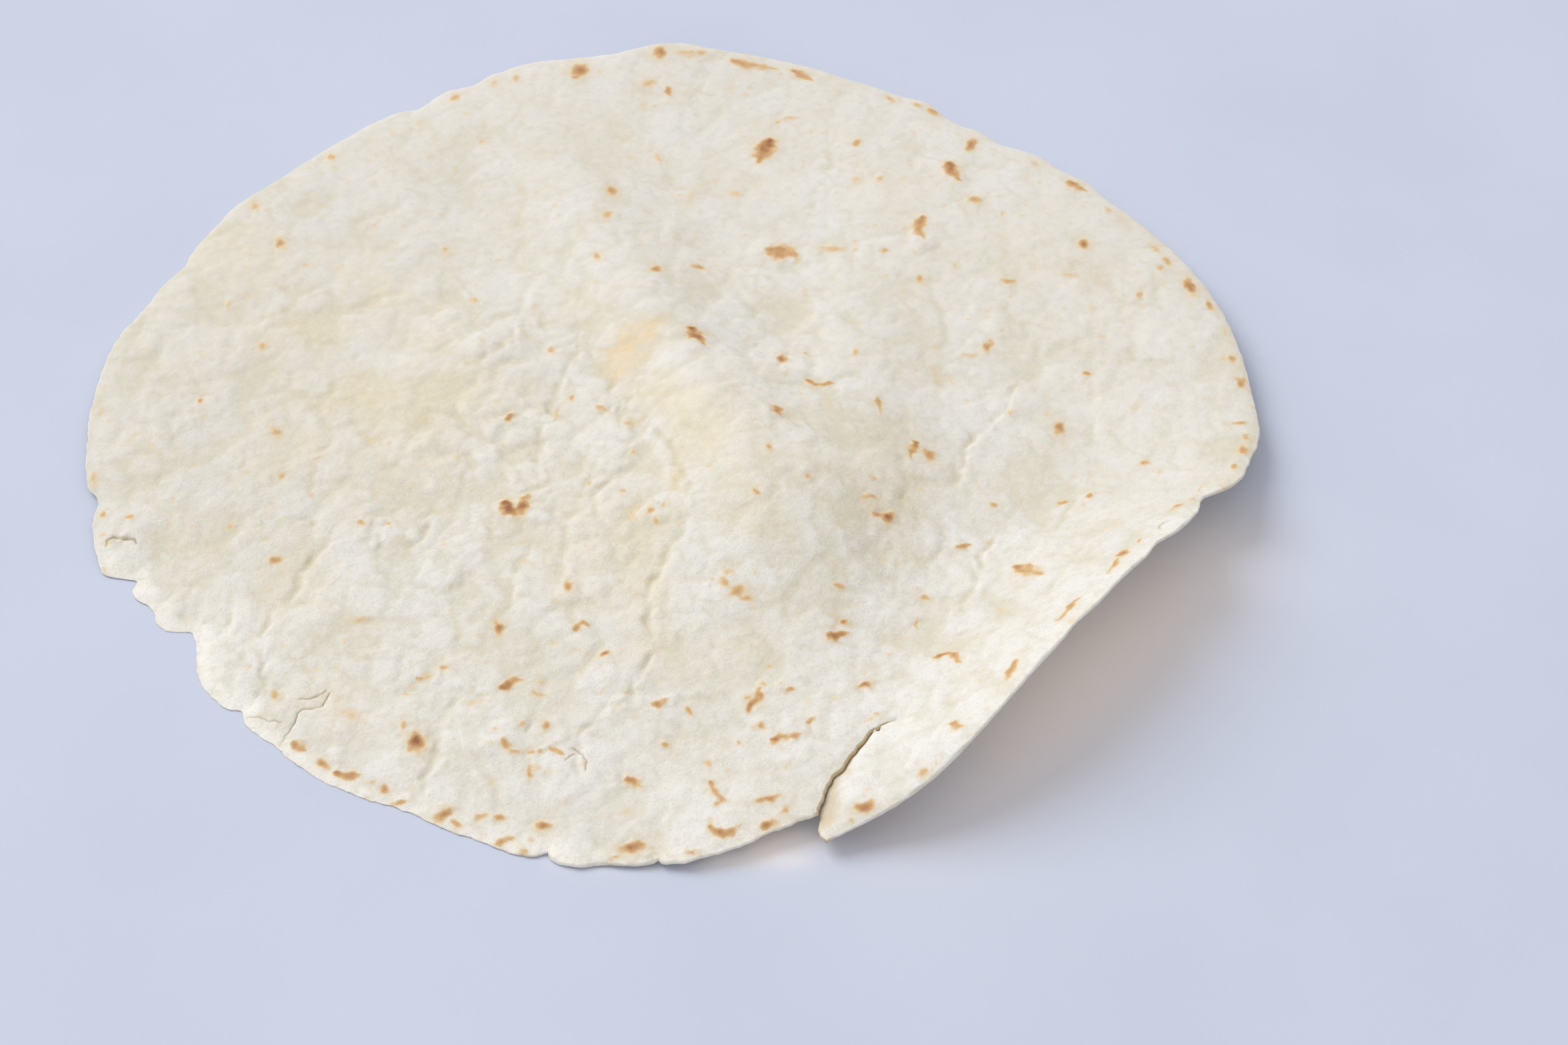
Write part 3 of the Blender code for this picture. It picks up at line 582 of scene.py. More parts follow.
# Tinted patches: x, y, long half, short half, direction, butter, peach. The butter yellow is partly the bread's own
# colour and partly painted shade in the valleys; below zero it makes a patch less yellow.
TINTS = (
    (-9.0, 9.4, 6.6, 4.4, 62.0, 0.3, 1.0),
    (-5.6, 12.6, 3.4, 2.2, 40.0, 0.0, 0.6),
    (-12.4, 4.6, 2.6, 2.2, 0.0, 0.3, 0.4),
    (-4.0, -2.0, 6.0, 5.0, 100.0, 0.8, 0.0),
    (3.0, -12.0, 10.0, 4.6, 110.0, 0.9, 0.0),
    (1.6, -25.0, 4.6, 1.8, 100.0, 0.3, 0.6),
    (-40.0, -6.0, 16.0, 9.0, 60.0, 0.7, 0.0),
    (-56.0, -3.0, 7.0, 5.0, 10.0, 0.8, 0.0),
    (-55.0, 26.0, 7.0, 4.0, 120.0, 0.7, 0.0),
    (-68.0, 14.0, 9.0, 5.0, 10.0, 0.6, 0.0),
    (-64.0, -17.0, 8.0, 5.0, 30.0, 0.5, 0.0),
    (-16.0, 20.0, 6.0, 3.4, 140.0, 0.6, 0.0),
    (-2.0, -50.0, 5.0, 13.0, 0.0, 0.7, 0.0),
    (6.0, -62.0, 12.0, 6.0, 0.0, 0.6, 0.0),
    (-46.0, -72.0, 8.0, 5.0, 20.0, 0.4, 0.0),
    (-60.0, -46.0, 6.0, 10.0, 20.0, 0.5, 0.0),
    (14.0, -36.0, 9.0, 5.0, 120.0, 0.7, 0.0),
    (36.0, -20.0, 12.0, 8.0, 90.0, 0.6, 0.0),
    (38.0, -38.0, 5.0, 4.0, 0.0, 0.6, 0.0),
    (-10.0, -40.0, 12.0, 16.0, 0.0, 0.4, 0.0),
    (12.0, 4.0, 4.0, 3.0, 0.0, 0.4, 0.0),
    (-62.0, 0.0, 36.0, 46.0, 0.0, 0.26, 0.0),
    (10.0, -16.0, 16.0, 12.0, 120.0, 0.45, 0.0),
    (34.0, -25.0, 16.0, 8.0, 0.0, 0.35, 0.0),
    (60.0, 38.0, 13.0, 8.0, 0.0, -0.5, 0.0),
    (-36.0, -78.0, 14.0, 8.0, 0.0, -0.6, 0.0),
    (20.0, -90.0, 26.0, 12.0, 0.0, -0.8, 0.0),
    (-84.0, 34.0, 16.0, 12.0, 60.0, 0.4, 0.0),
    (58.0, -62.0, 34.0, 12.0, 48.0, -1.0, 0.0),
    (0.0, -94.0, 40.0, 9.0, 0.0, -0.8, 0.0),
)


# ------------------------------------------------------------ curves drawn on the sheet
def curve_through(points, step):
    """A smooth open curve through the points, as rows of x, y about step apart."""
    p = np.array(points, float)
    if len(p) == 2:
        count = max(2, int(np.hypot(*(p[1] - p[0])) / step) + 1)
        return p[0] + (p[1] - p[0]) * np.linspace(0.0, 1.0, count)[:, None]
    ends = np.vstack([2.0 * p[0] - p[1], p, 2.0 * p[-1] - p[-2]])
    rows = []
    for a, b, c, d in zip(ends, ends[1:], ends[2:], ends[3:]):
        count = max(2, int(np.hypot(*(c - b)) / step) + 1)
        t = np.linspace(0.0, 1.0, count, endpoint=False)[:, None]
        rows.append(
            0.5
            * (
                2.0 * b
                + (c - a) * t
                + (2.0 * a - 5.0 * b + 4.0 * c - d) * t**2
                + (3.0 * b - a - 3.0 * c + d) * t**3
            )
        )
    return np.vstack(rows + [p[-1:]])


def from_curve(x, y, curve, reach):
    """Points near the curve: which ones, how far off, which side, how far along."""
    low, high = curve.min(0) - reach, curve.max(0) + reach
    near = np.flatnonzero(
        (x > low[0]) & (x < high[0]) & (y > low[1]) & (y < high[1])
    )
    px, py = x[near], y[near]
    best = np.full(len(near), 1e9)
    side = np.zeros(len(near))
    along = np.zeros(len(near))
    for i, (a, b) in enumerate(zip(curve, curve[1:])):
        dx, dy = b - a
        square = max(dx * dx + dy * dy, 1e-12)
        t = np.clip(((px - a[0]) * dx + (py - a[1]) * dy) / square, 0.0, 1.0)
        off = np.hypot(px - a[0] - t * dx, py - a[1] - t * dy)
        closer = off < best
        best = np.where(closer, off, best)
        cross = dx * (py - a[1]) - dy * (px - a[0])
        side = np.where(closer, np.sign(cross), side)
        along = np.where(closer, (i + t) / (len(curve) - 1), along)
    keep = best < reach
    return near[keep], best[keep], side[keep], along[keep]


def wandering(x, y, amount, size, seed):
    """The same points, pushed about a little so that edges turn ragged."""
    return (
        x + amount * noise(x, y, size, seed),
        y + amount * noise(x, y, size, seed + 50),
    )


def wandering_curve(points, step, amount, size, seed):
    """The curve through the points, made to wander sideways a little."""
    curve = curve_through(points, step)
    x, y = wandering(curve[:, 0], curve[:, 1], amount, size, seed)
    return np.stack([x, y], axis=1)


def crease_curves():
    return [
        (width, depth, lip, wandering_curve(points, 0.6, 0.85, 3.2, 11))
        for width, depth, lip, points in CREASES
    ]


def crack_curves():
    return [
        (width, depth, lip, wandering_curve(points, 0.3, 0.22, 0.9, 12))
        for width, depth, lip, points in CRACKS
    ]


def pressed_lines(x, y, creases, cracks):
    """Relief of the creases and of the cracks in mm, and how deep in a crack a point is, which sets the crack's painted
    shade.
    """
    relief = np.zeros(x.shape)
    crack = np.zeros(x.shape)
    for width, depth, lip, curve in creases:
        at, off, side, along = from_curve(x, y, curve, 9.0)
        ends = smooth(0.0, 0.16, along) * smooth(1.0, 0.84, along)
        ends *= 1.0 - 0.62 * smooth(-4.0, 34.0, y[at])
        uneven = 0.62 + 0.8 * noise(x[at], y[at], 3.4, 21)
        width = width * (0.86 + 0.35 * noise(x[at], y[at], 2.2, 22))
        groove = np.exp(-((off / width) ** 2))
        relief[at] -= 1.15 * depth * ends * uneven * groove
        raised = np.where(side > 0.0, 1.0, 0.0) * (1.0 - groove)
        relief[at] += lip * ends * raised * np.exp(-((off / 4.2) ** 2))
        relief[at] += 0.22 * depth * ends * np.exp(-(((off - 1.9 * width) / width) ** 2))
    for width, depth, lip, curve in cracks:
        at, off, side, along = from_curve(x, y, curve, 7.0)
        ends = smooth(0.0, 0.08, along) * smooth(1.0, 0.92, along)
        cut = ends * np.exp(-((off / width) ** 2))
        raised = np.where(side > 0.0, 1.0, 0.0) * np.exp(-((off / 3.2) ** 2))
        relief[at] += lip * ends * raised * (1.0 - cut) - depth * cut
        wide = ends * np.exp(-((off / (1.3 * width)) ** 2))
        crack[at] = np.maximum(crack[at], wide)
    return relief, crack


def toast_of(x, y):
    """How toasted the top is: 0 pale, 0.3 tan, 1 dark brown. Second, the tan halo."""
    toast = np.zeros(x.shape)
    halo = np.zeros(x.shape)
    wx, wy = wandering(x, y, 0.30, 1.7, 31)
    wx, wy = wandering(wx, wy, 0.10, 0.8, 33)
    swing = 0.66 - 0.44 * smooth(0.0, 60.0, y)
    patchy = np.clip(0.5 + swing * noise(x, y, 1.3, 36), 0.0, 1.0)
    for cx, cy, long_half, short_half, direction, tone in SPOTS:
        reach = 3.2 * max(long_half, short_half) + 1.0
        at = np.flatnonzero((abs(wx - cx) < reach) & (abs(wy - cy) < reach))
        b = math.radians(direction)
        dx, dy = wx[at] - cx, wy[at] - cy
        u = (dx * math.cos(b) + dy * math.sin(b)) / long_half
        v = (-dx * math.sin(b) + dy * math.cos(b)) / short_half
        off = np.hypot(u, v) / (0.74 + 0.5 * patchy[at])
        core = tone * (1.0 - smooth(0.0, 1.85, off)) * (0.80 + 0.34 * patchy[at])
        toast[at] = np.maximum(toast[at], core)
        halo[at] = np.maximum(halo[at], tone * np.exp(-((off / 1.9) ** 2)))
    for tone, half, points in STREAKS:
        curve = curve_through(points, 0.5)
        at, off, _, along = from_curve(wx, wy, curve, 3.4 * half + 1.0)
        ends = 0.55 + 0.45 * smooth(0.0, 0.25, along) * smooth(1.0, 0.75, along)
        off = off / (1.1 * half * ends * (0.55 + 0.9 * patchy[at]) * (1.25 - 0.50 * along))
        core = tone * (1.0 - smooth(0.0, 1.85, off)) * (0.66 + 0.50 * patchy[at]) * (1.12 - 0.42 * along)
        toast[at] = np.maximum(toast[at], core)
        halo[at] = np.maximum(halo[at], tone * np.exp(-((off / 1.9) ** 2)))
    # The faint freckles all over are too many to place one by one.
    for size, share, tone, seed in ((5.2, 0.34, 0.26, 41), (3.1, 0.20, 0.20, 44)):
        near, _, owner = cells(wx, wy, size, seed)
        few = smooth(1.0 - share, 1.0 - 0.5 * share, owner)
        radius = 0.42 / size * (0.6 + 0.8 * owner)
        fleck = few * tone * (1.0 - smooth(0.6 * radius, 2.1 * radius, near))
        toast = np.maximum(toast, fleck)
    return toast, halo


def floured(x, y, middle, long_half, short_half, direction):
    """Distance from the middle of a patch, counted in its own half sizes."""
    b = math.radians(direction)
    u = ((x - middle[0]) * math.cos(b) + (y - middle[1]) * math.sin(b)) / long_half
    v = (-(x - middle[0]) * math.sin(b) + (y - middle[1]) * math.cos(b)) / short_half
    return np.hypot(u, v)


def tint_of(x, y):
    """Butter-coloured and peach patches of the top; the butter is partly own colour and partly painted shade in the
    valleys.
    """
    butter = np.zeros(x.shape)
    peach = np.zeros(x.shape)
    wx, wy = wandering(x, y, 1.8, 6.0, 61)
    for cx, cy, long_half, short_half, direction, yellow, orange in TINTS:
        b = math.radians(direction)
        u = ((wx - cx) * math.cos(b) + (wy - cy) * math.sin(b)) / long_half
        v = (-(wx - cx) * math.sin(b) + (wy - cy) * math.cos(b)) / short_half
        spread = np.exp(-((u * u + v * v) ** 1.3))
        butter += yellow * spread
        peach += orange * spread
    butter += 0.20 * noise(x, y, 13.0, 63) + 0.16 * noise(x, y, 5.0, 64) - 0.05
    return np.clip(butter, 0.0, 1.0), np.clip(peach, 0.0, 1.0)


def puckers(x, y):
    """The soft lumps and fine wrinkles all over, in mm, about zero."""
    # They are strongest left of the middle and along the front, and fade to the back.
    strength = 0.80 + 0.56 * np.exp(-(((x + 22.0) / 46.0) ** 2 + ((y + 18.0) / 36.0) ** 2))
    strength += 0.28 * smooth(-20.0, -80.0, y) - 0.34 * smooth(16.0, 66.0, y)
    strength -= 0.14 * smooth(30.0, 80.0, x)
    strength *= 0.9 + 0.35 * noise(x, y, 24.0, 70)

    # Stretched a little along the way the wrinkles run, from the front to the back.
    wx, wy = wandering(x, y, 1.3, 6.0, 71)
    wx, wy = wandering(wx, wy, 0.4, 2.2, 271)
    lean = math.radians(80.0)
    u = (wx * math.cos(lean) + wy * math.sin(lean)) / 1.25
    v = -wx * math.sin(lean) + wy * math.cos(lean)
    z = np.zeros(x.shape)
    for size, rise, seed in ((10.0, 0.22, 73), (5.4, 0.22, 173)):
        near, following, owner = cells(u, v, size, seed)
        plate = smooth(0.0, 0.26, following - near)
        z += rise * (0.7 * (plate - 0.8) + 1.3 * plate * (owner - 0.5))
    near, following, owner = cells(wx, wy, 2.7, 76)
    z += 0.09 * (smooth(0.0, 0.40, following - near) - 0.7) * (0.3 + 1.3 * owner)

    # Ledges, where one layer of bubbles ends: higher on one side of a winding line.
    for size, rise, seed in ((15.0, 0.14, 81), (9.0, 0.09, 82)):
        ledge = noise(u, v, size, seed)
        z += 1.3 * rise * (smooth(-0.06, 0.06, ledge) - 0.5) * (0.5 + smooth(-0.5, 0.5, noise(x, y, 12.0, seed + 4)))
    z += 0.08 * noise(u, v, 8.0, 83) + 0.05 * noise(wx, wy, 3.6, 84)
    z += 0.04 * noise(wx, wy, 1.8, 85)
    return z * strength


def plates(x, y):
    z = np.zeros(x.shape)
    wx, wy = wandering(x, y, 0.9, 4.0, 91)
    for cx, cy, long_half, short_half, direction, rise, square in PLATES:
        b = math.radians(direction)
        u = ((wx - cx) * math.cos(b) + (wy - cy) * math.sin(b)) / long_half
        v = (-(wx - cx) * math.sin(b) + (wy - cy) * math.cos(b)) / short_half
        z += rise * np.exp(-((u * u + v * v) ** (0.5 * square)))
    return z


# ------------------------------------------------------------ outline
def ragged_at(azimuth):
    amount = np.zeros(np.shape(azimuth))
    for middle, spread, how in RAGGED:
        amount = amount + how * np.exp(-((turn(azimuth, middle) / spread) ** 2))
    return amount


def reach_at(azimuth):
    """Length of the sheet from its middle to the rim, at each azimuth."""
    reach = np.full(azimuth.shape, SHEET_RADIUS)
    for lobes, rise, crest in LOBES:
        reach += rise * np.cos(lobes * np.radians(azimuth - crest))
    for middle, before, after, rise in RIM_WAVES:
        off = turn(azimuth, middle)
        reach += rise * np.exp(-((off / np.where(off < 0.0, before, after)) ** 2))
    past = turn(MOUTH_LEFT, azimuth)
    pull = np.where((past > -0.2) & (past < 25.0), 1.0, 0.0)
    reach -= TEAR_PULL * pull * np.exp(-((past / TEAR_PULL_SPREAD) ** 2))
    arc = np.radians(azimuth) * SHEET_RADIUS
    flat = np.zeros(azimuth.shape)
    rough = ragged_at(azimuth)
    reach += (0.16 + 0.25 * rough) * noise(arc, flat, 4.2, 101)
    reach += (0.09 + 0.28 * rough) * noise(arc, flat, 1.9, 102)
    reach += (0.03 + 0.16 * rough) * noise(arc, flat, 0.9, 103)
    return reach


def rim_curve():
    """The flat mesh's rim from the right lip of the tear all round to its left lip."""
    sweep = 360.0 + MOUTH_LEFT - MOUTH_RIGHT
    count = round(math.radians(sweep) * SHEET_RADIUS / RIM_STEP)
    azimuth = MOUTH_RIGHT + sweep * np.arange(count + 1) / count
    reach = reach_at(azimuth) - BULGE
    radii = reach[:, None] * np.linspace(0.0, 1.0, 161)
    a = np.radians(azimuth)[:, None]
    z = height(radii * np.cos(a), radii * np.sin(a))
    steps = np.hypot(np.diff(radii, axis=1), np.diff(z, axis=1))
    length = np.hstack([np.zeros((len(radii), 1)), np.cumsum(steps, axis=1)])
    out = np.array([np.interp(r, l, q) for r, l, q in zip(reach, length, radii)])
    a = a[:, 0]
    return np.stack([out * np.cos(a), out * np.sin(a)], axis=1)


def tear_curves():
    """Both sides of the tear, from its tip out to the mouth."""
    middle = curve_through([(x, y) for x, y, _ in TEAR], 0.5)
    share = np.linspace(0.0, 1.0, len(middle))
    half = np.interp(share, np.linspace(0.0, 1.0, len(TEAR)), [row[2] for row in TEAR])
    run = np.gradient(middle, axis=0)
    run /= np.maximum(np.linalg.norm(run, axis=1, keepdims=True), 1e-9)
    across = np.stack([run[:, 1], -run[:, 0]], axis=1)
    arc, flat, opened = share * 24.0, 0.0 * share, smooth(0.0, 0.2, share)
    shared = 0.30 * noise(arc, flat, 2.4, 111) + 0.12 * noise(arc, flat, 1.0, 112)
    middle = middle + across * (shared * opened)[:, None]
    sides = []
    for way, seed in ((1.0, 113), (-1.0, 114)):
        rough = 0.10 * noise(arc, flat, 1.1, seed) * opened
        off = half + TEAR_BULGE * smooth(0.0, 0.12, share) + rough
        sides.append(middle + way * across * off[:, None])
        sides[-1][0] = middle[0]
    return sides


def outline():
    """The flat mesh's outline, anticlockwise, how far its round edge bulges at each
    point, and which points belong to the tear."""
    rim = rim_curve()
    left, right = tear_curves()
    left = left[np.hypot(*left.T) < np.hypot(*rim[-1]) - 0.1]
    corner = np.array(FLAP_CORNER)
    loop = np.vstack([rim, left[::-1], right[1:], corner])
    in_tear = np.zeros(len(loop), bool)
    in_tear[len(rim) :] = True
    bulge = np.where(in_tear, TEAR_BULGE, BULGE)
    tip = len(rim) + len(left) - 1
    from_tip = np.abs(np.arange(len(loop)) - tip)
    bulge = bulge * smooth(0.0, 7.0, from_tip)
    for _ in range(2):
        bulge = (np.roll(bulge, 1) + 2.0 * bulge + np.roll(bulge, -1)) / 4.0
    bulge[tip] = 0.0
    return loop, bulge, in_tear


def outward_of(loop):
    """Unit vectors out of the outline at its points, in plan."""
    run = np.roll(loop, -1, axis=0) - np.roll(loop, 1, axis=0)
    run /= np.maximum(np.linalg.norm(run, axis=1, keepdims=True), 1e-9)
    for _ in range(2):
        run = np.roll(run, 1, axis=0) + 2.0 * run + np.roll(run, -1, axis=0)
        run /= np.maximum(np.linalg.norm(run, axis=1, keepdims=True), 1e-9)
    return np.stack([run[:, 1], -run[:, 0]], axis=1)


def inside(loop, x, y):
    hit = np.zeros(x.shape, bool)
    for (ax, ay), (bx, by) in zip(loop, np.roll(loop, -1, axis=0)):
        at = np.flatnonzero((ay > y) != (by > y))
        crossing = ax + (y[at] - ay) * (bx - ax) / (by - ay)
        hit[at] ^= x[at] < crossing
    return hit


def distance_from(curve, x, y):
    """Distance of each point from a curve given as close-set points."""
    dense = []
    for a, b in zip(curve, curve[1:]):
        count = max(1, int(np.hypot(*(b - a)) / 0.12))
        dense.append(a + (b - a) * np.linspace(0.0, 1.0, count, endpoint=False)[:, None])
    dense = np.vstack(dense)
    tree = kdtree.KDTree(len(dense))
    for i, (px, py) in enumerate(dense):
        tree.insert((px, py, 0.0), i)
    tree.balance()
    return np.array([tree.find((px, py, 0.0))[2] for px, py in zip(x, y)])


# ------------------------------------------------------------ mesh points in plan
def grid(step):
    """Hexagonal lattice over the sheet, and which of it also belongs to the lattice
    with twice the step."""
    reach = int(112.0 / step) + 2
    i, j = np.meshgrid(np.arange(-2 * reach, 2 * reach + 1), np.arange(-reach - 8, reach + 9))
    x = step * (i + 0.5 * j)
    y = step * j * math.sqrt(0.75)
    keep = np.hypot(x, y) < 104.0
    coarse = (i % 2 == 0) & (j % 2 == 0)
    return x[keep], y[keep], coarse[keep]


def wants_detail(x, y, creases):
    """Where the mesh is made finer: round the toast marks and the creases."""
    fine = np.zeros(x.shape, bool)
    for cx, cy, long_half, short_half, direction, tone in SPOTS:
        if tone < 0.34:
            continue
        at = np.flatnonzero((abs(x - cx) < 5.0) & (abs(y - cy) < 5.0))
        b = math.radians(direction)
        dx, dy = x[at] - cx, y[at] - cy
        u = (dx * math.cos(b) + dy * math.sin(b)) / (1.4 * long_half + 0.6)
        v = (-dx * math.sin(b) + dy * math.cos(b)) / (1.4 * short_half + 0.6)
        fine[at[np.hypot(u, v) < 1.0]] = True
    for tone, half, points in STREAKS:
        at, *_ = from_curve(x, y, curve_through(points, 0.8), 1.4 * half + 0.6)
        fine[at] = True
    for width, depth, lip, curve in creases:
        if depth > 0.19:
            at, *_ = from_curve(x, y, curve, 1.15 * width + 0.2)
            fine[at] = True
    return fine


def rows_along(cracks):
    """Rows of points along each crack, so that the mesh follows its cut."""
    rows = []
    for width, depth, lip, curve in cracks:
        run = np.gradient(curve, axis=0)
        run /= np.maximum(np.linalg.norm(run, axis=1, keepdims=True), 1e-9)
        across = np.stack([run[:, 1], -run[:, 0]], axis=1)
        for off in (-2.2, -1.05, 0.0, 1.05, 2.2):
            rows.append(curve + across * off * width)
    return np.vstack(rows)


def triangulated(loop, inner):
    """Anticlockwise triangles that fill the outline; its own points come first."""
    count = len(loop)
    points = [Vector((px, py)) for px, py in np.vstack([loop, inner])]
    around = [(i, (i + 1) % count) for i in range(count)]
    _, _, faces, origins, _, _ = geometry.delaunay_2d_cdt(points, around, [], 1, 1e-6)
    own = [ids[0] for ids in origins]
    faces = np.array([[own[i] for i in face] for face in faces])
    flat = np.vstack([loop, inner])
    a, b, c = (flat[faces[:, i]] for i in range(3))
    area = (b[:, 0] - a[:, 0]) * (c[:, 1] - a[:, 1]) - (b[:, 1] - a[:, 1]) * (
        c[:, 0] - a[:, 0]
    )
    faces[area < 0.0] = faces[area < 0.0][:, ::-1]
    faces = faces[np.abs(area) > 1e-7]
    middle = (flat[faces[:, 0]] + flat[faces[:, 1]] + flat[faces[:, 2]]) / 3.0
    return faces[inside(loop, middle[:, 0], middle[:, 1])]


def spread_points(loop, step, creases=None, cracks=None):
    """The inner points of one side of the sheet."""
    x, y, coarse = grid(step)
    if creases is None:
        x, y = x[coarse], y[coarse]
    else:
        keep = coarse.copy()
        keep[~coarse] = wants_detail(x[~coarse], y[~coarse], creases)
        x, y, coarse = x[keep], y[keep], coarse[keep]
    keep = inside(loop, x, y)
    x, y = x[keep], y[keep]
    keep = distance_from(np.vstack([loop, loop[:1]]), x, y) > 0.62 * step
    x, y = x[keep], y[keep]
    if cracks is not None:
        rows = rows_along(cracks)
        rows = rows[inside(loop, rows[:, 0], rows[:, 1])]
        near = np.full(x.shape, False)
        for width, depth, lip, curve in cracks:
            at, *_ = from_curve(x, y, curve, 2.8 * width)
            near[at] = True
        x = np.concatenate([x[~near], rows[:, 0]])
        y = np.concatenate([y[~near], rows[:, 1]])
    return np.stack([x, y], axis=1)


# ------------------------------------------------------------ the piece
def sheet_arrays():
    loop, bulge, in_tear = outline()
    count = len(loop)
    creases, cracks = crease_curves(), crack_curves()
    outward = outward_of(loop)

    closed = np.vstack([loop, loop[:1]])
    top_inner = spread_points(loop, 0.5 * TOP_STEP, creases, cracks)
    under_inner = spread_points(loop, 0.5 * UNDER_STEP)
    top_plan = np.vstack([loop, top_inner])
    under_plan = np.vstack([loop, under_inner])
    top_faces = triangulated(loop, top_inner)
    under_faces = triangulated(loop, under_inner)

    # --- top
    x, y = top_plan.T
    far = distance_from(closed, x, y)
    azimuth = np.degrees(np.arctan2(y, x))
    _, right = tear_curves()
    from_flap = distance_from(right[3:], x, y)
    flap = (x > np.interp(y, right[::-1, 1], right[::-1, 0]) - 0.4) & (y < TEAR[1][1])
    face = TORN_FACE * (0.22 + 0.78 * smooth(-83.0, -92.0, y))
    slant = np.where(flap & (y > -99.0), smooth(0.0, 1.0, from_flap / face), 1.0)
    torn = np.where(flap, 1.0 - smooth(0.35, 1.0, from_flap / face), 0.0)
    rag = np.clip(ragged_at(azimuth), 0.0, 1.0)
    torn = np.maximum(torn, 0.12 * rag * (1.0 - smooth(0.3, 1.3, far)))

    # Where the front rests on the table its rim runs out to almost nothing.
    around = azimuth % 360.0
    wedge = smooth(172.0, 190.0, around) * smooth(270.0, 256.0, around)
    thin = 0.70 * np.exp(-((turn(azimuth, 325.0) / 38.0) ** 4))
    thin = np.maximum(thin, 1.20 * wedge)
    thin = np.maximum(thin, 0.55 * smooth(255.0, 264.0, around) * smooth(298.0, 286.0, around))
    rim = RIM_THICKNESS - thin
    taper = np.minimum(1.0, far / (RIM_TAPER * (1.0 + 0.9 * wedge)))
    thick = rim + (THICKNESS - rim) * taper ** (0.5 + 0.25 * wedge)
    thick += 0.14 * (1.0 - 0.7 * wedge) * noise(x, y, 6.0, 121) * np.exp(-far / 3.0)
    thick *= 1.0 - 0.30 * rag * np.exp(-((far / 1.6) ** 2))
    thick = 0.35 + (thick - 0.35) * slant

    lines, crack = pressed_lines(x, y, creases, cracks)
    toast, halo = toast_of(x, y)
    butter, peach = tint_of(x, y)
    fine = puckers(x, y)
    lumps = plates(x, y)
    edge = 0.35 - 0.23 * wedge
    calm = edge + (1.0 - edge) * smooth(0.0, 3.5, far)
    relief = (fine + lines + lumps) * calm + 0.11 * np.clip(toast, 0.0, 1.0)
    relief += torn * (0.13 * noise(x, y, 0.9, 131) + 0.10 * noise(x, y, 2.0, 132))
    up = upward(x, y)
    under_z = lying(x, y)
    low = np.stack([x, y, under_z], axis=1)
    top = low + up * np.maximum(0.12, thick + relief * (0.3 + 0.7 * slant))[:, None]

    # --- underside
    ux, uy = under_plan.T
    under_up = upward(ux, uy)
    hanging = smooth(0.25, 2.0, lying(ux, uy))
    under_far = distance_from(closed, ux, uy)
    soft = 0.20 * noise(ux, uy, 9.0, 141) + 0.11 * noise(ux, uy, 4.4, 142)
    soft *= hanging * smooth(0.0, 3.0, under_far)
    under = np.stack([ux, uy, lying(ux, uy)], axis=1) + under_up * soft[:, None]

    # --- round edge
    up_rim = up[:count]
    slope = np.sum(outward * up_rim[:, :2], axis=1) / up_rim[:, 2]
    out3 = np.column_stack([outward, -slope])
    out3 /= np.linalg.norm(out3, axis=1, keepdims=True)
    middle = 0.5 * (top[:count] + under[:count])
    half = 0.5 * (top[:count] - under[:count])
    rings = []
    arc = np.arange(count) * RIM_STEP
    undercut = smooth(0.25, 1.6, lying(x[:count], y[:count]))  # flat where it rests
    gap = np.array(TEAR[::-1])
    gap = np.interp(y[:count], gap[:, 1], gap[:, 2]) * smooth(-94.0, -91.0, y[:count])
    closing = np.maximum(0.0, 0.86 * (bulge + gap))
    for number, angle in enumerate((62.0, 32.0, 0.0, -32.0, -62.0)):
        a = math.radians(angle)
        uneven = 1.0 + 0.28 * noise(arc, 1.7 * number + 0.0 * arc, 3.2, 151)
        uneven += 0.20 * noise(arc, 1.7 * number + 0.0 * arc, 1.4, 152)
        round_off = np.where(angle > 0.0, 1.0, undercut)
        stand = bulge * np.clip(uneven, 0.4, 1.6) * (1.0 - round_off * (1.0 - math.cos(a)))
        if angle < 1.0:
            stand = np.where(in_tear, closing, stand)
        rings.append(middle + half * math.sin(a) + out3 * stand[:, None])
    ring_plan = [r[:, :2] for r in rings]

    # --- one mesh
    vertices = np.vstack([top, under] + rings)
    under_at = len(top)
    ring_at = under_at + len(under)
    loops = [np.arange(count)]
    loops += [ring_at + i * count + np.arange(count) for i in range(len(rings))]
    loops += [under_at + np.arange(count)]
    quads = [
        np.stack([a, b, np.roll(b, -1), np.roll(a, -1)], axis=1)
        for a, b in zip(loops, loops[1:])
    ]
    strip = np.vstack(quads)
    strip_in_tear = np.tile(in_tear & np.roll(in_tear, -1), len(quads))

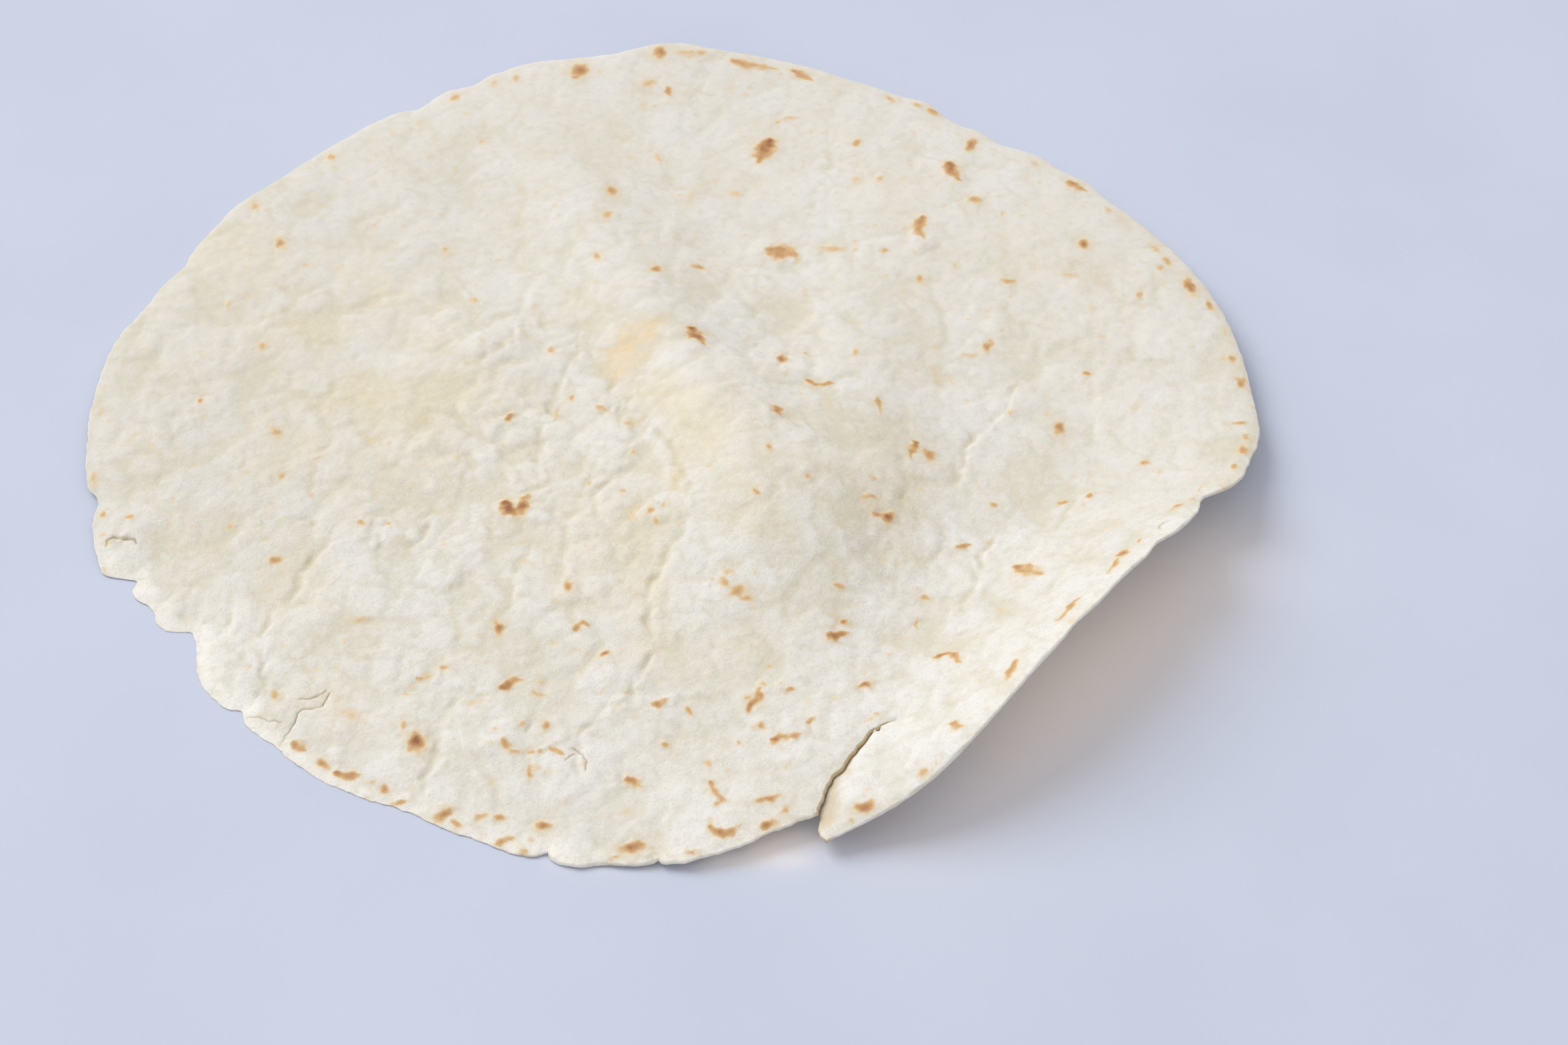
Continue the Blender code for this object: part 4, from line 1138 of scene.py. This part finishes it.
    # --- values that the material reads, one a vertex
    ring_xy = np.vstack(ring_plan)
    ring_toast, ring_halo = toast_of(ring_xy[:, 0], ring_xy[:, 1])
    ring_butter, ring_peach = tint_of(ring_xy[:, 0], ring_xy[:, 1])
    fade = np.repeat([1.0, 1.0, 0.9, 0.7, 0.4], count)
    turned = np.where(in_tear, 1.0, 0.12 * np.clip(ragged_at(azimuth[:count]), 0.0, 1.0))
    near, _, owner = cells(ux + noise(ux, uy, 2.0, 161), uy + noise(ux, uy, 2.0, 162), 15.0, 163)
    under_toast = (owner > 0.45) * (0.3 + owner) * (1.0 - smooth(0.04, 0.17, near))
    near, _, owner = cells(ux, uy, 6.0, 166)
    under_toast = np.maximum(under_toast, (owner > 0.6) * 0.5 * (1.0 - smooth(0.05, 0.2, near)))
    zeros, ones = np.zeros, np.ones
    # Painted shade: how deep a point lies in the puckers and creases, fainter towards the front.
    recess_shade = np.clip(-(fine + 1.7 * lines) / 0.26, 0.0, 1.0)
    recess_shade *= 1.0 - 0.55 * smooth(-50.0, -88.0, y)
    # Painted light: whiter patches on the curl, in the dip between the ridge and the curl, and along the front rim.
    lit = 0.6 * np.exp(-(floured(x, y, (58.0, -64.0), 40.0, 13.0, 48.0) ** 2))
    lit += 1.3 * np.exp(-(floured(x, y, (29.0, -40.0), 18.0, 15.0, 0.0) ** 2))
    lit += smooth(7.0, 0.6, far) * smooth(0.0, -40.0, y)
    lit += 0.7 * smooth(22.0, 2.0, far) * smooth(-58.0, -86.0, y)
    # Painted highlight: whiter on the raised lumps and in the lit patches.
    raised = np.clip((fine + lumps) / 0.35 + 0.8 * lit, 0.0, 1.3)
    # Painted light: the rim made whiter along the front and, faintly, round the curl, as if lit through its thin edge.
    clear = smooth(198.0, 212.0, around) * smooth(292.0, 270.0, around)
    clear = np.maximum(clear, 0.20 * smooth(292.0, 305.0, around) * smooth(352.0, 338.0, around))
    clear = clear * (1.0 - torn)
    rim_painted_light = clear[:count]
    clear = clear * smooth(3.0, 0.2, far + 0.8 * noise(x, y, 2.4, 155))
    # Painted shade along the pressed creases, as deep as they are.
    fold_shade = np.clip(-lines / 0.30, 0.0, 1.0)
    # low, line and crack carry painted shade, and butter partly does; high and clear carry painted light, high also on
    # the upper rings of the round edge.
    values = {
        "toast": (toast, under_toast, ring_toast * fade),
        "halo": (halo, 0.8 * under_toast, ring_halo * fade),
        "butter": (butter, 0.4 * ones(len(under)), ring_butter),
        "peach": (peach, zeros(len(under)), ring_peach),
        "low": (recess_shade, zeros(len(under)), zeros(len(ring_xy))),
        "high": (raised, zeros(len(under)), np.repeat([1.0, 1.0, 0.8, 0.5, 0.2], count)),
        "line": (fold_shade, zeros(len(under)), zeros(len(ring_xy))),
        "clear": (clear, zeros(len(under)), np.tile(rim_painted_light, len(rings))),
        "crack": (crack, zeros(len(under)), np.tile(np.where(in_tear, 1.0, 0.0), len(rings))),
        "torn": (torn, zeros(len(under)), np.tile(turned, len(rings))),
        "under": (zeros(len(top)), ones(len(under)), np.repeat([0.0, 0.0, 0.0, 0.2, 0.6], count)),
    }
    values = {name: np.concatenate(parts) for name, parts in values.items()}

    # --- UVs: the top with its round edge, the underside, and the faces of the tear
    spread = 0.424 / 104.0
    uv_top = np.array([0.43, 0.43]) + spread * top_plan
    continued = [
        np.array([0.43, 0.43]) + spread * (loop + outward * 0.32 * (i + 1))
        for i in range(len(rings) + 1)
    ]
    uv_under = np.array([0.83, 0.83]) + 0.158 / 104.0 * under_plan
    uv = np.vstack([uv_top, uv_under] + continued[:-1])
    across = np.linspace(0.0, 1.0, len(loops))
    run = np.cumsum(in_tear) / max(1, in_tear.sum())
    wall = [np.stack([0.90 + 0.08 * w + 0.0 * run, 0.02 + 0.5 * run], axis=1) for w in across]
    corner_uv = [uv[top_faces].reshape(-1, 2)]
    for i, quad in enumerate(quads):
        here, below = (uv_top[:count] if i == 0 else continued[i - 1]), continued[i]
        edge = np.stack([here, below, np.roll(below, -1, 0), np.roll(here, -1, 0)], axis=1)
        tear = np.stack(
            [wall[i], wall[i + 1], np.roll(wall[i + 1], -1, 0), np.roll(wall[i], -1, 0)], axis=1
        )
        chosen = (in_tear & np.roll(in_tear, -1))[:, None, None]
        corner_uv.append(np.where(chosen, tear, edge).reshape(-1, 2))
    backs = under_faces[:, ::-1]
    corner_uv.append(uv_under[backs].reshape(-1, 2))
    corner_uv = np.vstack(corner_uv)

    shift = np.array([MIDDLE[0], MIDDLE[1], 0.0])
    faces = top_faces.tolist() + strip.tolist() + (backs + under_at).tolist()
    return (vertices + shift) * MM, faces, corner_uv, values


def make_piece(material):
    vertices, faces, corner_uv, values = sheet_arrays()
    mesh = bpy.data.meshes.new("flour_tortilla")
    mesh.from_pydata(vertices.tolist(), [], faces)
    mesh.update()
    mesh.polygons.foreach_set("use_smooth", [True] * len(mesh.polygons))
    uv = mesh.uv_layers.new(name="OFBake")
    uv.data.foreach_set("uv", corner_uv.astype(np.float32).ravel())
    for name, value in values.items():
        layer = mesh.attributes.new(name, "FLOAT", "POINT")
        layer.data.foreach_set("value", value.astype(np.float32))
    mesh.materials.append(material)
    mesh.validate(verbose=False)
    piece = bpy.data.objects.new("flour_tortilla", mesh)
    bpy.context.scene.collection.objects.link(piece)
    return piece


# ------------------------------------------------------------ materials
def linear(r, g, b):
    """A colour given as it looks on screen, 0 to 255, in linear light."""
    out = []
    for c in (r / 255.0, g / 255.0, b / 255.0):
        out.append(c / 12.92 if c <= 0.04045 else ((c + 0.055) / 1.055) ** 2.4)
    return (*out, 1.0)


class Nodes:
    """A short way to write a shader's node tree."""

    def __init__(self, name):
        self.material = bpy.data.materials.new(name)
        self.material.use_nodes = True
        self.tree = self.material.node_tree
        self.tree.nodes.clear()

    def add(self, kind, **settings):
        made = self.tree.nodes.new(kind)
        for name, value in settings.items():
            setattr(made, name, value)
        return made

    def put(self, socket, value):
        if isinstance(value, bpy.types.NodeSocket):
            self.tree.links.new(value, socket)
        else:
            socket.default_value = value

    def value(self, name):
        return self.add("ShaderNodeAttribute", attribute_name=name).outputs["Fac"]

    def math(self, operation, a, b=0.0, clamp=False):
        made = self.add("ShaderNodeMath", operation=operation, use_clamp=clamp)
        self.put(made.inputs[0], a)
        self.put(made.inputs[1], b)
        return made.outputs[0]

    def ease(self, value, low, high, to_low=0.0, to_high=1.0):
        made = self.add("ShaderNodeMapRange", interpolation_type="SMOOTHSTEP")
        self.put(made.inputs["Value"], value)
        for name, number in (
            ("From Min", low),
            ("From Max", high),
            ("To Min", to_low),
            ("To Max", to_high),
        ):
            made.inputs[name].default_value = number
        return made.outputs["Result"]

    def noise(self, where, size, detail=2.0, roughness=0.5, stretch=None):
        """Noise from 0 to 1 whose bumps are about size mm across."""
        made = self.add("ShaderNodeTexNoise")
        self.put(made.inputs["Vector"], where)
        made.inputs["Scale"].default_value = 1.0 / (size * MM)
        made.inputs["Detail"].default_value = detail
        made.inputs["Roughness"].default_value = roughness
        return made.outputs["Fac"]

    def edges(self, where, size):
        """Distance to the edge of the nearest of the cells about size mm across."""
        made = self.add("ShaderNodeTexVoronoi", feature="DISTANCE_TO_EDGE")
        self.put(made.inputs["Vector"], where)
        made.inputs["Scale"].default_value = 1.0 / (size * MM)
        return made.outputs["Distance"]

    def mix(self, factor, a, b, kind="MIX"):
        made = self.add("ShaderNodeMix", data_type="RGBA", blend_type=kind)
        self.put(made.inputs["Factor"], factor)
        self.put(made.inputs["A"], a)
        self.put(made.inputs["B"], b)
        return made.outputs["Result"]

    def ramp(self, value, *stops):
        made = self.add("ShaderNodeValToRGB")
        made.color_ramp.elements[0].position = stops[0][0]
        made.color_ramp.elements[0].color = stops[0][1]
        made.color_ramp.elements[1].position = stops[-1][0]
        made.color_ramp.elements[1].color = stops[-1][1]
        for position, colour in stops[1:-1]:
            made.color_ramp.elements.new(position).color = colour
        self.put(made.inputs["Fac"], value)
        return made.outputs["Color"]

    def bump(self, height, distance, strength=1.0, normal=None):
        made = self.add("ShaderNodeBump")
        self.put(made.inputs["Height"], height)
        made.inputs["Distance"].default_value = distance
        made.inputs["Strength"].default_value = strength
        if normal is not None:
            self.put(made.inputs["Normal"], normal)
        return made.outputs["Normal"]


def bread_material():
    n = Nodes("flatbread")
    where = n.add("ShaderNodeTexCoord").outputs["Object"]
    broad = n.noise(where, 16.0, 2.0, 0.5)
    patchy = n.noise(where, 5.0, 3.0, 0.55)
    flour = n.noise(where, 1.5, 4.0, 0.62)
    grain = n.noise(where, 0.45, 3.0, 0.6)
    speck = n.noise(where, 0.8, 1.0, 0.5)
    streaky = n.noise(where, 3.0, 2.0, 0.5)

    # Bread between the marks: cream, with a painted highlight, whiter, on the raised lumps and painted shade, more
    # yellow, in the creases.
    colour = n.mix(n.ease(broad, 0.3, 0.7), linear(*CREAM), linear(*CREAM_COOL))
    colour = n.mix(
        n.math("MULTIPLY", n.ease(patchy, 0.42, 0.72), 0.36), colour, linear(*CREAM_WARM)
    )
    # Painted highlight, whiter where the sheet is high: raised lumps, lit patches and the upper rings of the round
    # edge.
    colour = n.mix(n.math("MULTIPLY", n.value("high"), 0.38), colour, linear(*FLOUR_AND_HIGHLIGHT))
    place = n.add("ShaderNodeSeparateXYZ")
    n.put(place.inputs[0], where)
    # Whiter towards the front.
    whiter_to_front = n.ease(place.outputs["Y"], -0.030, -0.085, 0.0, 0.42)
    colour = n.mix(whiter_to_front, colour, linear(*FLOUR_AND_HIGHLIGHT))
    dull = n.ease(place.outputs["X"], -0.020, -0.080, 0.0, 0.34)
    dull = n.math("MULTIPLY", dull, n.ease(place.outputs["Y"], -0.060, -0.020))
    colour = n.mix(dull, colour, linear(*DULL))
    # Painted shade, olive-yellow, in the hollows of the puckers and creases.
    colour = n.mix(n.math("MULTIPLY", n.value("low"), 0.50), colour, linear(*CREASE_SHADE))
    # Butter yellow: partly own colour, partly painted shade in the valleys.
    colour = n.mix(n.math("MULTIPLY", n.value("butter"), 0.56), colour, linear(*BUTTER_AND_SHADE))
    colour = n.mix(n.math("MULTIPLY", n.value("peach"), n.ease(streaky, 0.30, 0.62, 0.35, 1.0)), colour, linear(*PEACH))
    colour = n.mix(n.math("MULTIPLY", n.value("under"), 0.5), colour, linear(*UNDERSIDE))
    # Painted shade along the pressed creases.
    colour = n.mix(n.math("MULTIPLY", n.value("line"), 0.30), colour, linear(*WRINKLE_SHADE))
    # Painted light: the rim along the front and the curl made whiter.
    colour = n.mix(n.value("clear"), colour, linear(*PAINTED_RIM_LIGHT))
    colour = n.mix(n.value("torn"), colour, linear(*CRUMB))
    colour = n.mix(
        n.math("MULTIPLY", n.ease(flour, 0.50, 0.72), 0.34), colour, linear(*DUST)
    )
    colour = n.mix(
        n.math("MULTIPLY", n.ease(flour, 0.49, 0.32), 0.28), colour, linear(*SHADED)
    )
    # Dry flour makes the front of the sheet grainy.
    dots = n.noise(where, 0.34, 2.0, 0.55)
    front = n.ease(place.outputs["Y"], 0.020, -0.040, 0.10, 1.0)
    dark = n.math("MULTIPLY", n.ease(dots, 0.46, 0.30), front)
    colour = n.mix(n.math("MULTIPLY", dark, 0.42), colour, linear(*SHADED))
    light = n.math("MULTIPLY", n.ease(dots, 0.54, 0.70), front)
    colour = n.mix(n.math("MULTIPLY", light, 0.36), colour, linear(*FLOUR_AND_HIGHLIGHT))

    # The smallest bubbles: painted shade, olive, in the seams where they meet, in stretches only.
    nudge = n.add("ShaderNodeTexNoise")
    n.put(nudge.inputs["Vector"], where)
    nudge.inputs["Scale"].default_value = 1.0 / (1.6 * MM)
    nudge.inputs["Detail"].default_value = 3.0
    moved = n.add("ShaderNodeVectorMath", operation="MULTIPLY_ADD")
    n.put(moved.inputs[0], nudge.outputs["Color"])
    moved.inputs[1].default_value = (0.0016, 0.0016, 0.0016)
    n.put(moved.inputs[2], where)
    pillow = n.ease(n.edges(moved.outputs["Vector"], 2.6), 0.0, 0.30)
    seam_shade = n.math("MULTIPLY", n.math("SUBTRACT", 1.0, pillow), n.ease(patchy, 0.44, 0.66))
    seam_shade = n.math("MULTIPLY", seam_shade, n.math("ADD", n.math("MULTIPLY", front, 0.7), 0.3))
    colour = n.mix(n.math("MULTIPLY", seam_shade, 0.30), colour, linear(*CREASE_SHADE))

    # Hairline creases: painted shade along a wandering net, of which only stretches show.
    drift = n.add("ShaderNodeTexNoise")
    n.put(drift.inputs["Vector"], where)
    drift.inputs["Scale"].default_value = 1.0 / (6.0 * MM)
    drift.inputs["Detail"].default_value = 3.0
    pushed = n.add("ShaderNodeVectorMath", operation="MULTIPLY_ADD")
    n.put(pushed.inputs[0], drift.outputs["Color"])
    pushed.inputs[1].default_value = (0.0065, 0.0065, 0.0065)
    n.put(pushed.inputs[2], where)
    net = n.edges(pushed.outputs["Vector"], 9.0)
    shown = n.ease(n.noise(where, 9.0, 2.0, 0.5), 0.48, 0.66)
    hairline_shade = n.math("MULTIPLY", n.ease(net, 0.10, 0.0), shown)
    colour = n.mix(n.math("MULTIPLY", hairline_shade, 0.22), colour, linear(*WRINKLE_SHADE))

    # Toast marks: the mesh says where, and noise frays their edges and mottles them.
    frayed = n.math("MULTIPLY", n.math("SUBTRACT", flour, 0.5), 0.34)
    mottled = n.math("MULTIPLY", n.math("SUBTRACT", grain, 0.5), 0.26)
    swing = n.math("ADD", frayed, mottled)
    toast = n.value("toast")
    amount = n.math("ADD", toast, n.math("MULTIPLY", swing, n.ease(toast, 0.04, 0.40)))
    halo = n.math("MULTIPLY", n.value("halo"), 0.70)
    halo = n.math("MULTIPLY", halo, n.ease(patchy, 0.25, 0.65, 0.55, 1.1))
    colour = n.mix(halo, colour, linear(*HALO))
    browned = n.ramp(amount, *[(at, linear(*shade)) for at, shade in TOASTED])
    colour = n.mix(n.ease(amount, 0.03, 0.42), colour, browned)
    # Stray crumbs of brown flour.
    colour = n.mix(n.math("MULTIPLY", n.ease(speck, 0.80, 0.86), 0.35), colour, linear(*HALO))
    # Painted shade in the cracks and on the faces in the gap of the tear.
    colour = n.mix(n.math("MULTIPLY", n.value("crack"), 0.5), colour, linear(*CRACK_SHADE))

    rough = n.ease(n.math("ADD", toast, n.math("MULTIPLY", flour, 0.4)), 0.1, 1.0, 0.78, 0.56)
    rougher = n.ease(place.outputs["Y"], 0.050, -0.030, 0.45, 1.0)
    skin = n.bump(n.math("MULTIPLY", pillow, rougher), 0.00005, 0.9)
    skin = n.bump(n.math("MULTIPLY", n.noise(where, 2.2, 4.0, 0.55), rougher), 0.00010, 0.9, skin)
    skin = n.bump(n.math("MULTIPLY", n.noise(where, 0.7, 3.0, 0.6), rougher), 0.00007, 0.9, skin)
    skin = n.bump(n.math("MULTIPLY", grain, rougher), 0.00005, 0.9, skin)

    shader = n.add("ShaderNodeBsdfPrincipled")
    shader.subsurface_method = "RANDOM_WALK"
    n.put(shader.inputs["Base Color"], colour)
    n.put(shader.inputs["Roughness"], rough)
    n.put(shader.inputs["Normal"], skin)
    shader.inputs["Subsurface Weight"].default_value = SOFTNESS
    shader.inputs["Subsurface Radius"].default_value = (1.0, 0.75, 0.5)
    shader.inputs["Subsurface Scale"].default_value = 0.0012
    shader.inputs["Specular IOR Level"].default_value = 0.30
    out = n.add("ShaderNodeOutputMaterial")
    n.put(out.inputs["Surface"], shader.outputs["BSDF"])
    return n.material


def floor_material():
    n = Nodes("floor")
    where = n.add("ShaderNodeTexCoord").outputs["Object"]
    cloudy = n.noise(where, 60.0, 3.0, 0.5)
    colour = n.mix(n.ease(cloudy, 0.3, 0.7), linear(*FLOOR), linear(*FLOOR_DARK))
    shader = n.add("ShaderNodeBsdfPrincipled")
    n.put(shader.inputs["Base Color"], colour)
    shader.inputs["Roughness"].default_value = 0.6
    shader.inputs["Specular IOR Level"].default_value = 0.25
    n.put(shader.inputs["Normal"], n.bump(n.noise(where, 2.0, 4.0), 0.00003))
    out = n.add("ShaderNodeOutputMaterial")
    n.put(out.inputs["Surface"], shader.outputs["BSDF"])
    return n.material


# ------------------------------------------------------------ camera and light
LENS = 60.0
CAMERA_ELEVATION = 44.82
CAMERA_ROLL = 2.06
CAMERA_DISTANCE = 0.4328
CAMERA_TARGET = (0.01937, -0.02667, 0.0)
KEY_AZIMUTH = 150.0
KEY_ELEVATION = 45.0
KEY_DISTANCE = 6.0
KEY_SIZE = 4.4

# Where warm light comes through: x, y, z, width, length, turned by, power, colour.
GLOWS = (
    (0.0660, -0.0590, 0.0110, 0.020, 0.098, 318.0, 0.0024, (1.0, 0.60, 0.22)),
    (0.0060, -0.0978, 0.0016, 0.003, 0.040, 273.0, 0.00011, (1.0, 0.72, 0.40)),
    (0.0215, -0.0942, 0.0022, 0.005, 0.012, 282.0, 0.00006, (1.0, 0.68, 0.36)),
    (0.0325, -0.0825, 0.0030, 0.005, 0.018, 329.0, 0.00008, (1.0, 0.68, 0.36)),
)


def make_camera():
    elevation, roll = math.radians(CAMERA_ELEVATION), math.radians(CAMERA_ROLL)
    back = Vector((0.0, -math.cos(elevation), math.sin(elevation)))
    right = (-back).cross(Vector((0.0, 0.0, 1.0))).normalized()
    up = right.cross(-back)
    x_axis = math.cos(roll) * right + math.sin(roll) * up
    y_axis = -math.sin(roll) * right + math.cos(roll) * up
    data = bpy.data.cameras.new("camera")
    data.lens = LENS
    data.sensor_width = 36.0
    data.clip_start = 0.01
    data.clip_end = 20.0
    camera = bpy.data.objects.new("camera", data)
    place = Vector(CAMERA_TARGET) + back * CAMERA_DISTANCE
    matrix = [[x_axis[i], y_axis[i], back[i], place[i]] for i in range(3)]
    camera.matrix_world = Matrix(matrix + [[0.0, 0.0, 0.0, 1.0]])
    bpy.context.scene.collection.objects.link(camera)
    bpy.context.scene.camera = camera


def make_light(floor):
    a, e = math.radians(KEY_AZIMUTH), math.radians(KEY_ELEVATION)
    towards = Vector((math.cos(e) * math.cos(a), math.cos(e) * math.sin(a), math.sin(e)))
    data = bpy.data.lights.new("key", "AREA")
    data.shape = "DISK"
    data.size = KEY_SIZE
    data.energy = 205.0
    data.color = (0.985, 0.99, 1.0)
    key = bpy.data.objects.new("key", data)
    key.location = towards * KEY_DISTANCE
    key.rotation_euler = towards.to_track_quat("Z", "Y").to_euler()
    bpy.context.scene.collection.objects.link(key)
    # Thin bread lets warm light through to the table under the curl. The renderer
    # drops that light on its way, so a hidden lamp stands for it, on the floor only.
    lit = bpy.data.collections.new("lit_by_glow")
    lit.objects.link(floor)
    shading = bpy.data.collections.new("shading_glow")
    shading.objects.link(floor)
    for number, (x, y, z, width, length, turned, power, colour) in enumerate(GLOWS):
        data = bpy.data.lights.new(f"glow_{number}", "AREA")
        data.shape = "ELLIPSE"
        data.size, data.size_y = width, length
        data.energy = power
        data.color = colour
        glow = bpy.data.objects.new(f"glow_{number}", data)
        glow.location = (x, y, z)
        glow.rotation_euler = (0.0, 0.0, math.radians(turned))
        glow.visible_camera = False
        glow.visible_glossy = False
        bpy.context.scene.collection.objects.link(glow)
        glow.light_linking.receiver_collection = lit
        glow.light_linking.blocker_collection = shading
    world = bpy.data.worlds.new("world")
    world.use_nodes = True
    world.node_tree.nodes["Background"].inputs["Color"].default_value = (1.0, 0.99, 0.985, 1.0)
    world.node_tree.nodes["Background"].inputs["Strength"].default_value = 0.62
    bpy.context.scene.world = world
    view = bpy.context.scene.view_settings
    view.view_transform = "Standard"
    view.look = "None"
    view.exposure = 0.0
    view.gamma = 1.0


def make_floor():
    mesh = bpy.data.meshes.new("floor")
    half, z = 3.0, -0.00002
    corners = [(-half, -half, z), (half, -half, z), (half, half, z), (-half, half, z)]
    mesh.from_pydata(corners, [], [(0, 1, 2, 3)])
    mesh.materials.append(floor_material())
    floor = bpy.data.objects.new("floor", mesh)
    bpy.context.scene.collection.objects.link(floor)
    return floor


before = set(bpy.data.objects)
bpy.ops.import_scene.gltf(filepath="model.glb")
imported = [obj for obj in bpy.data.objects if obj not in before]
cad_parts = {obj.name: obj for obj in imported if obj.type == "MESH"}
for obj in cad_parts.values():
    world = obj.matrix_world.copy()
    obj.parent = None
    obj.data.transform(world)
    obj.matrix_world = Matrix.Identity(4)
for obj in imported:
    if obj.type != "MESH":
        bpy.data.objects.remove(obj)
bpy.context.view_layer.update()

make_camera()
make_light(make_floor())
tortilla = make_piece(bread_material())
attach(tortilla, "root")
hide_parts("tortilla")

bpy.context.view_layer.update()
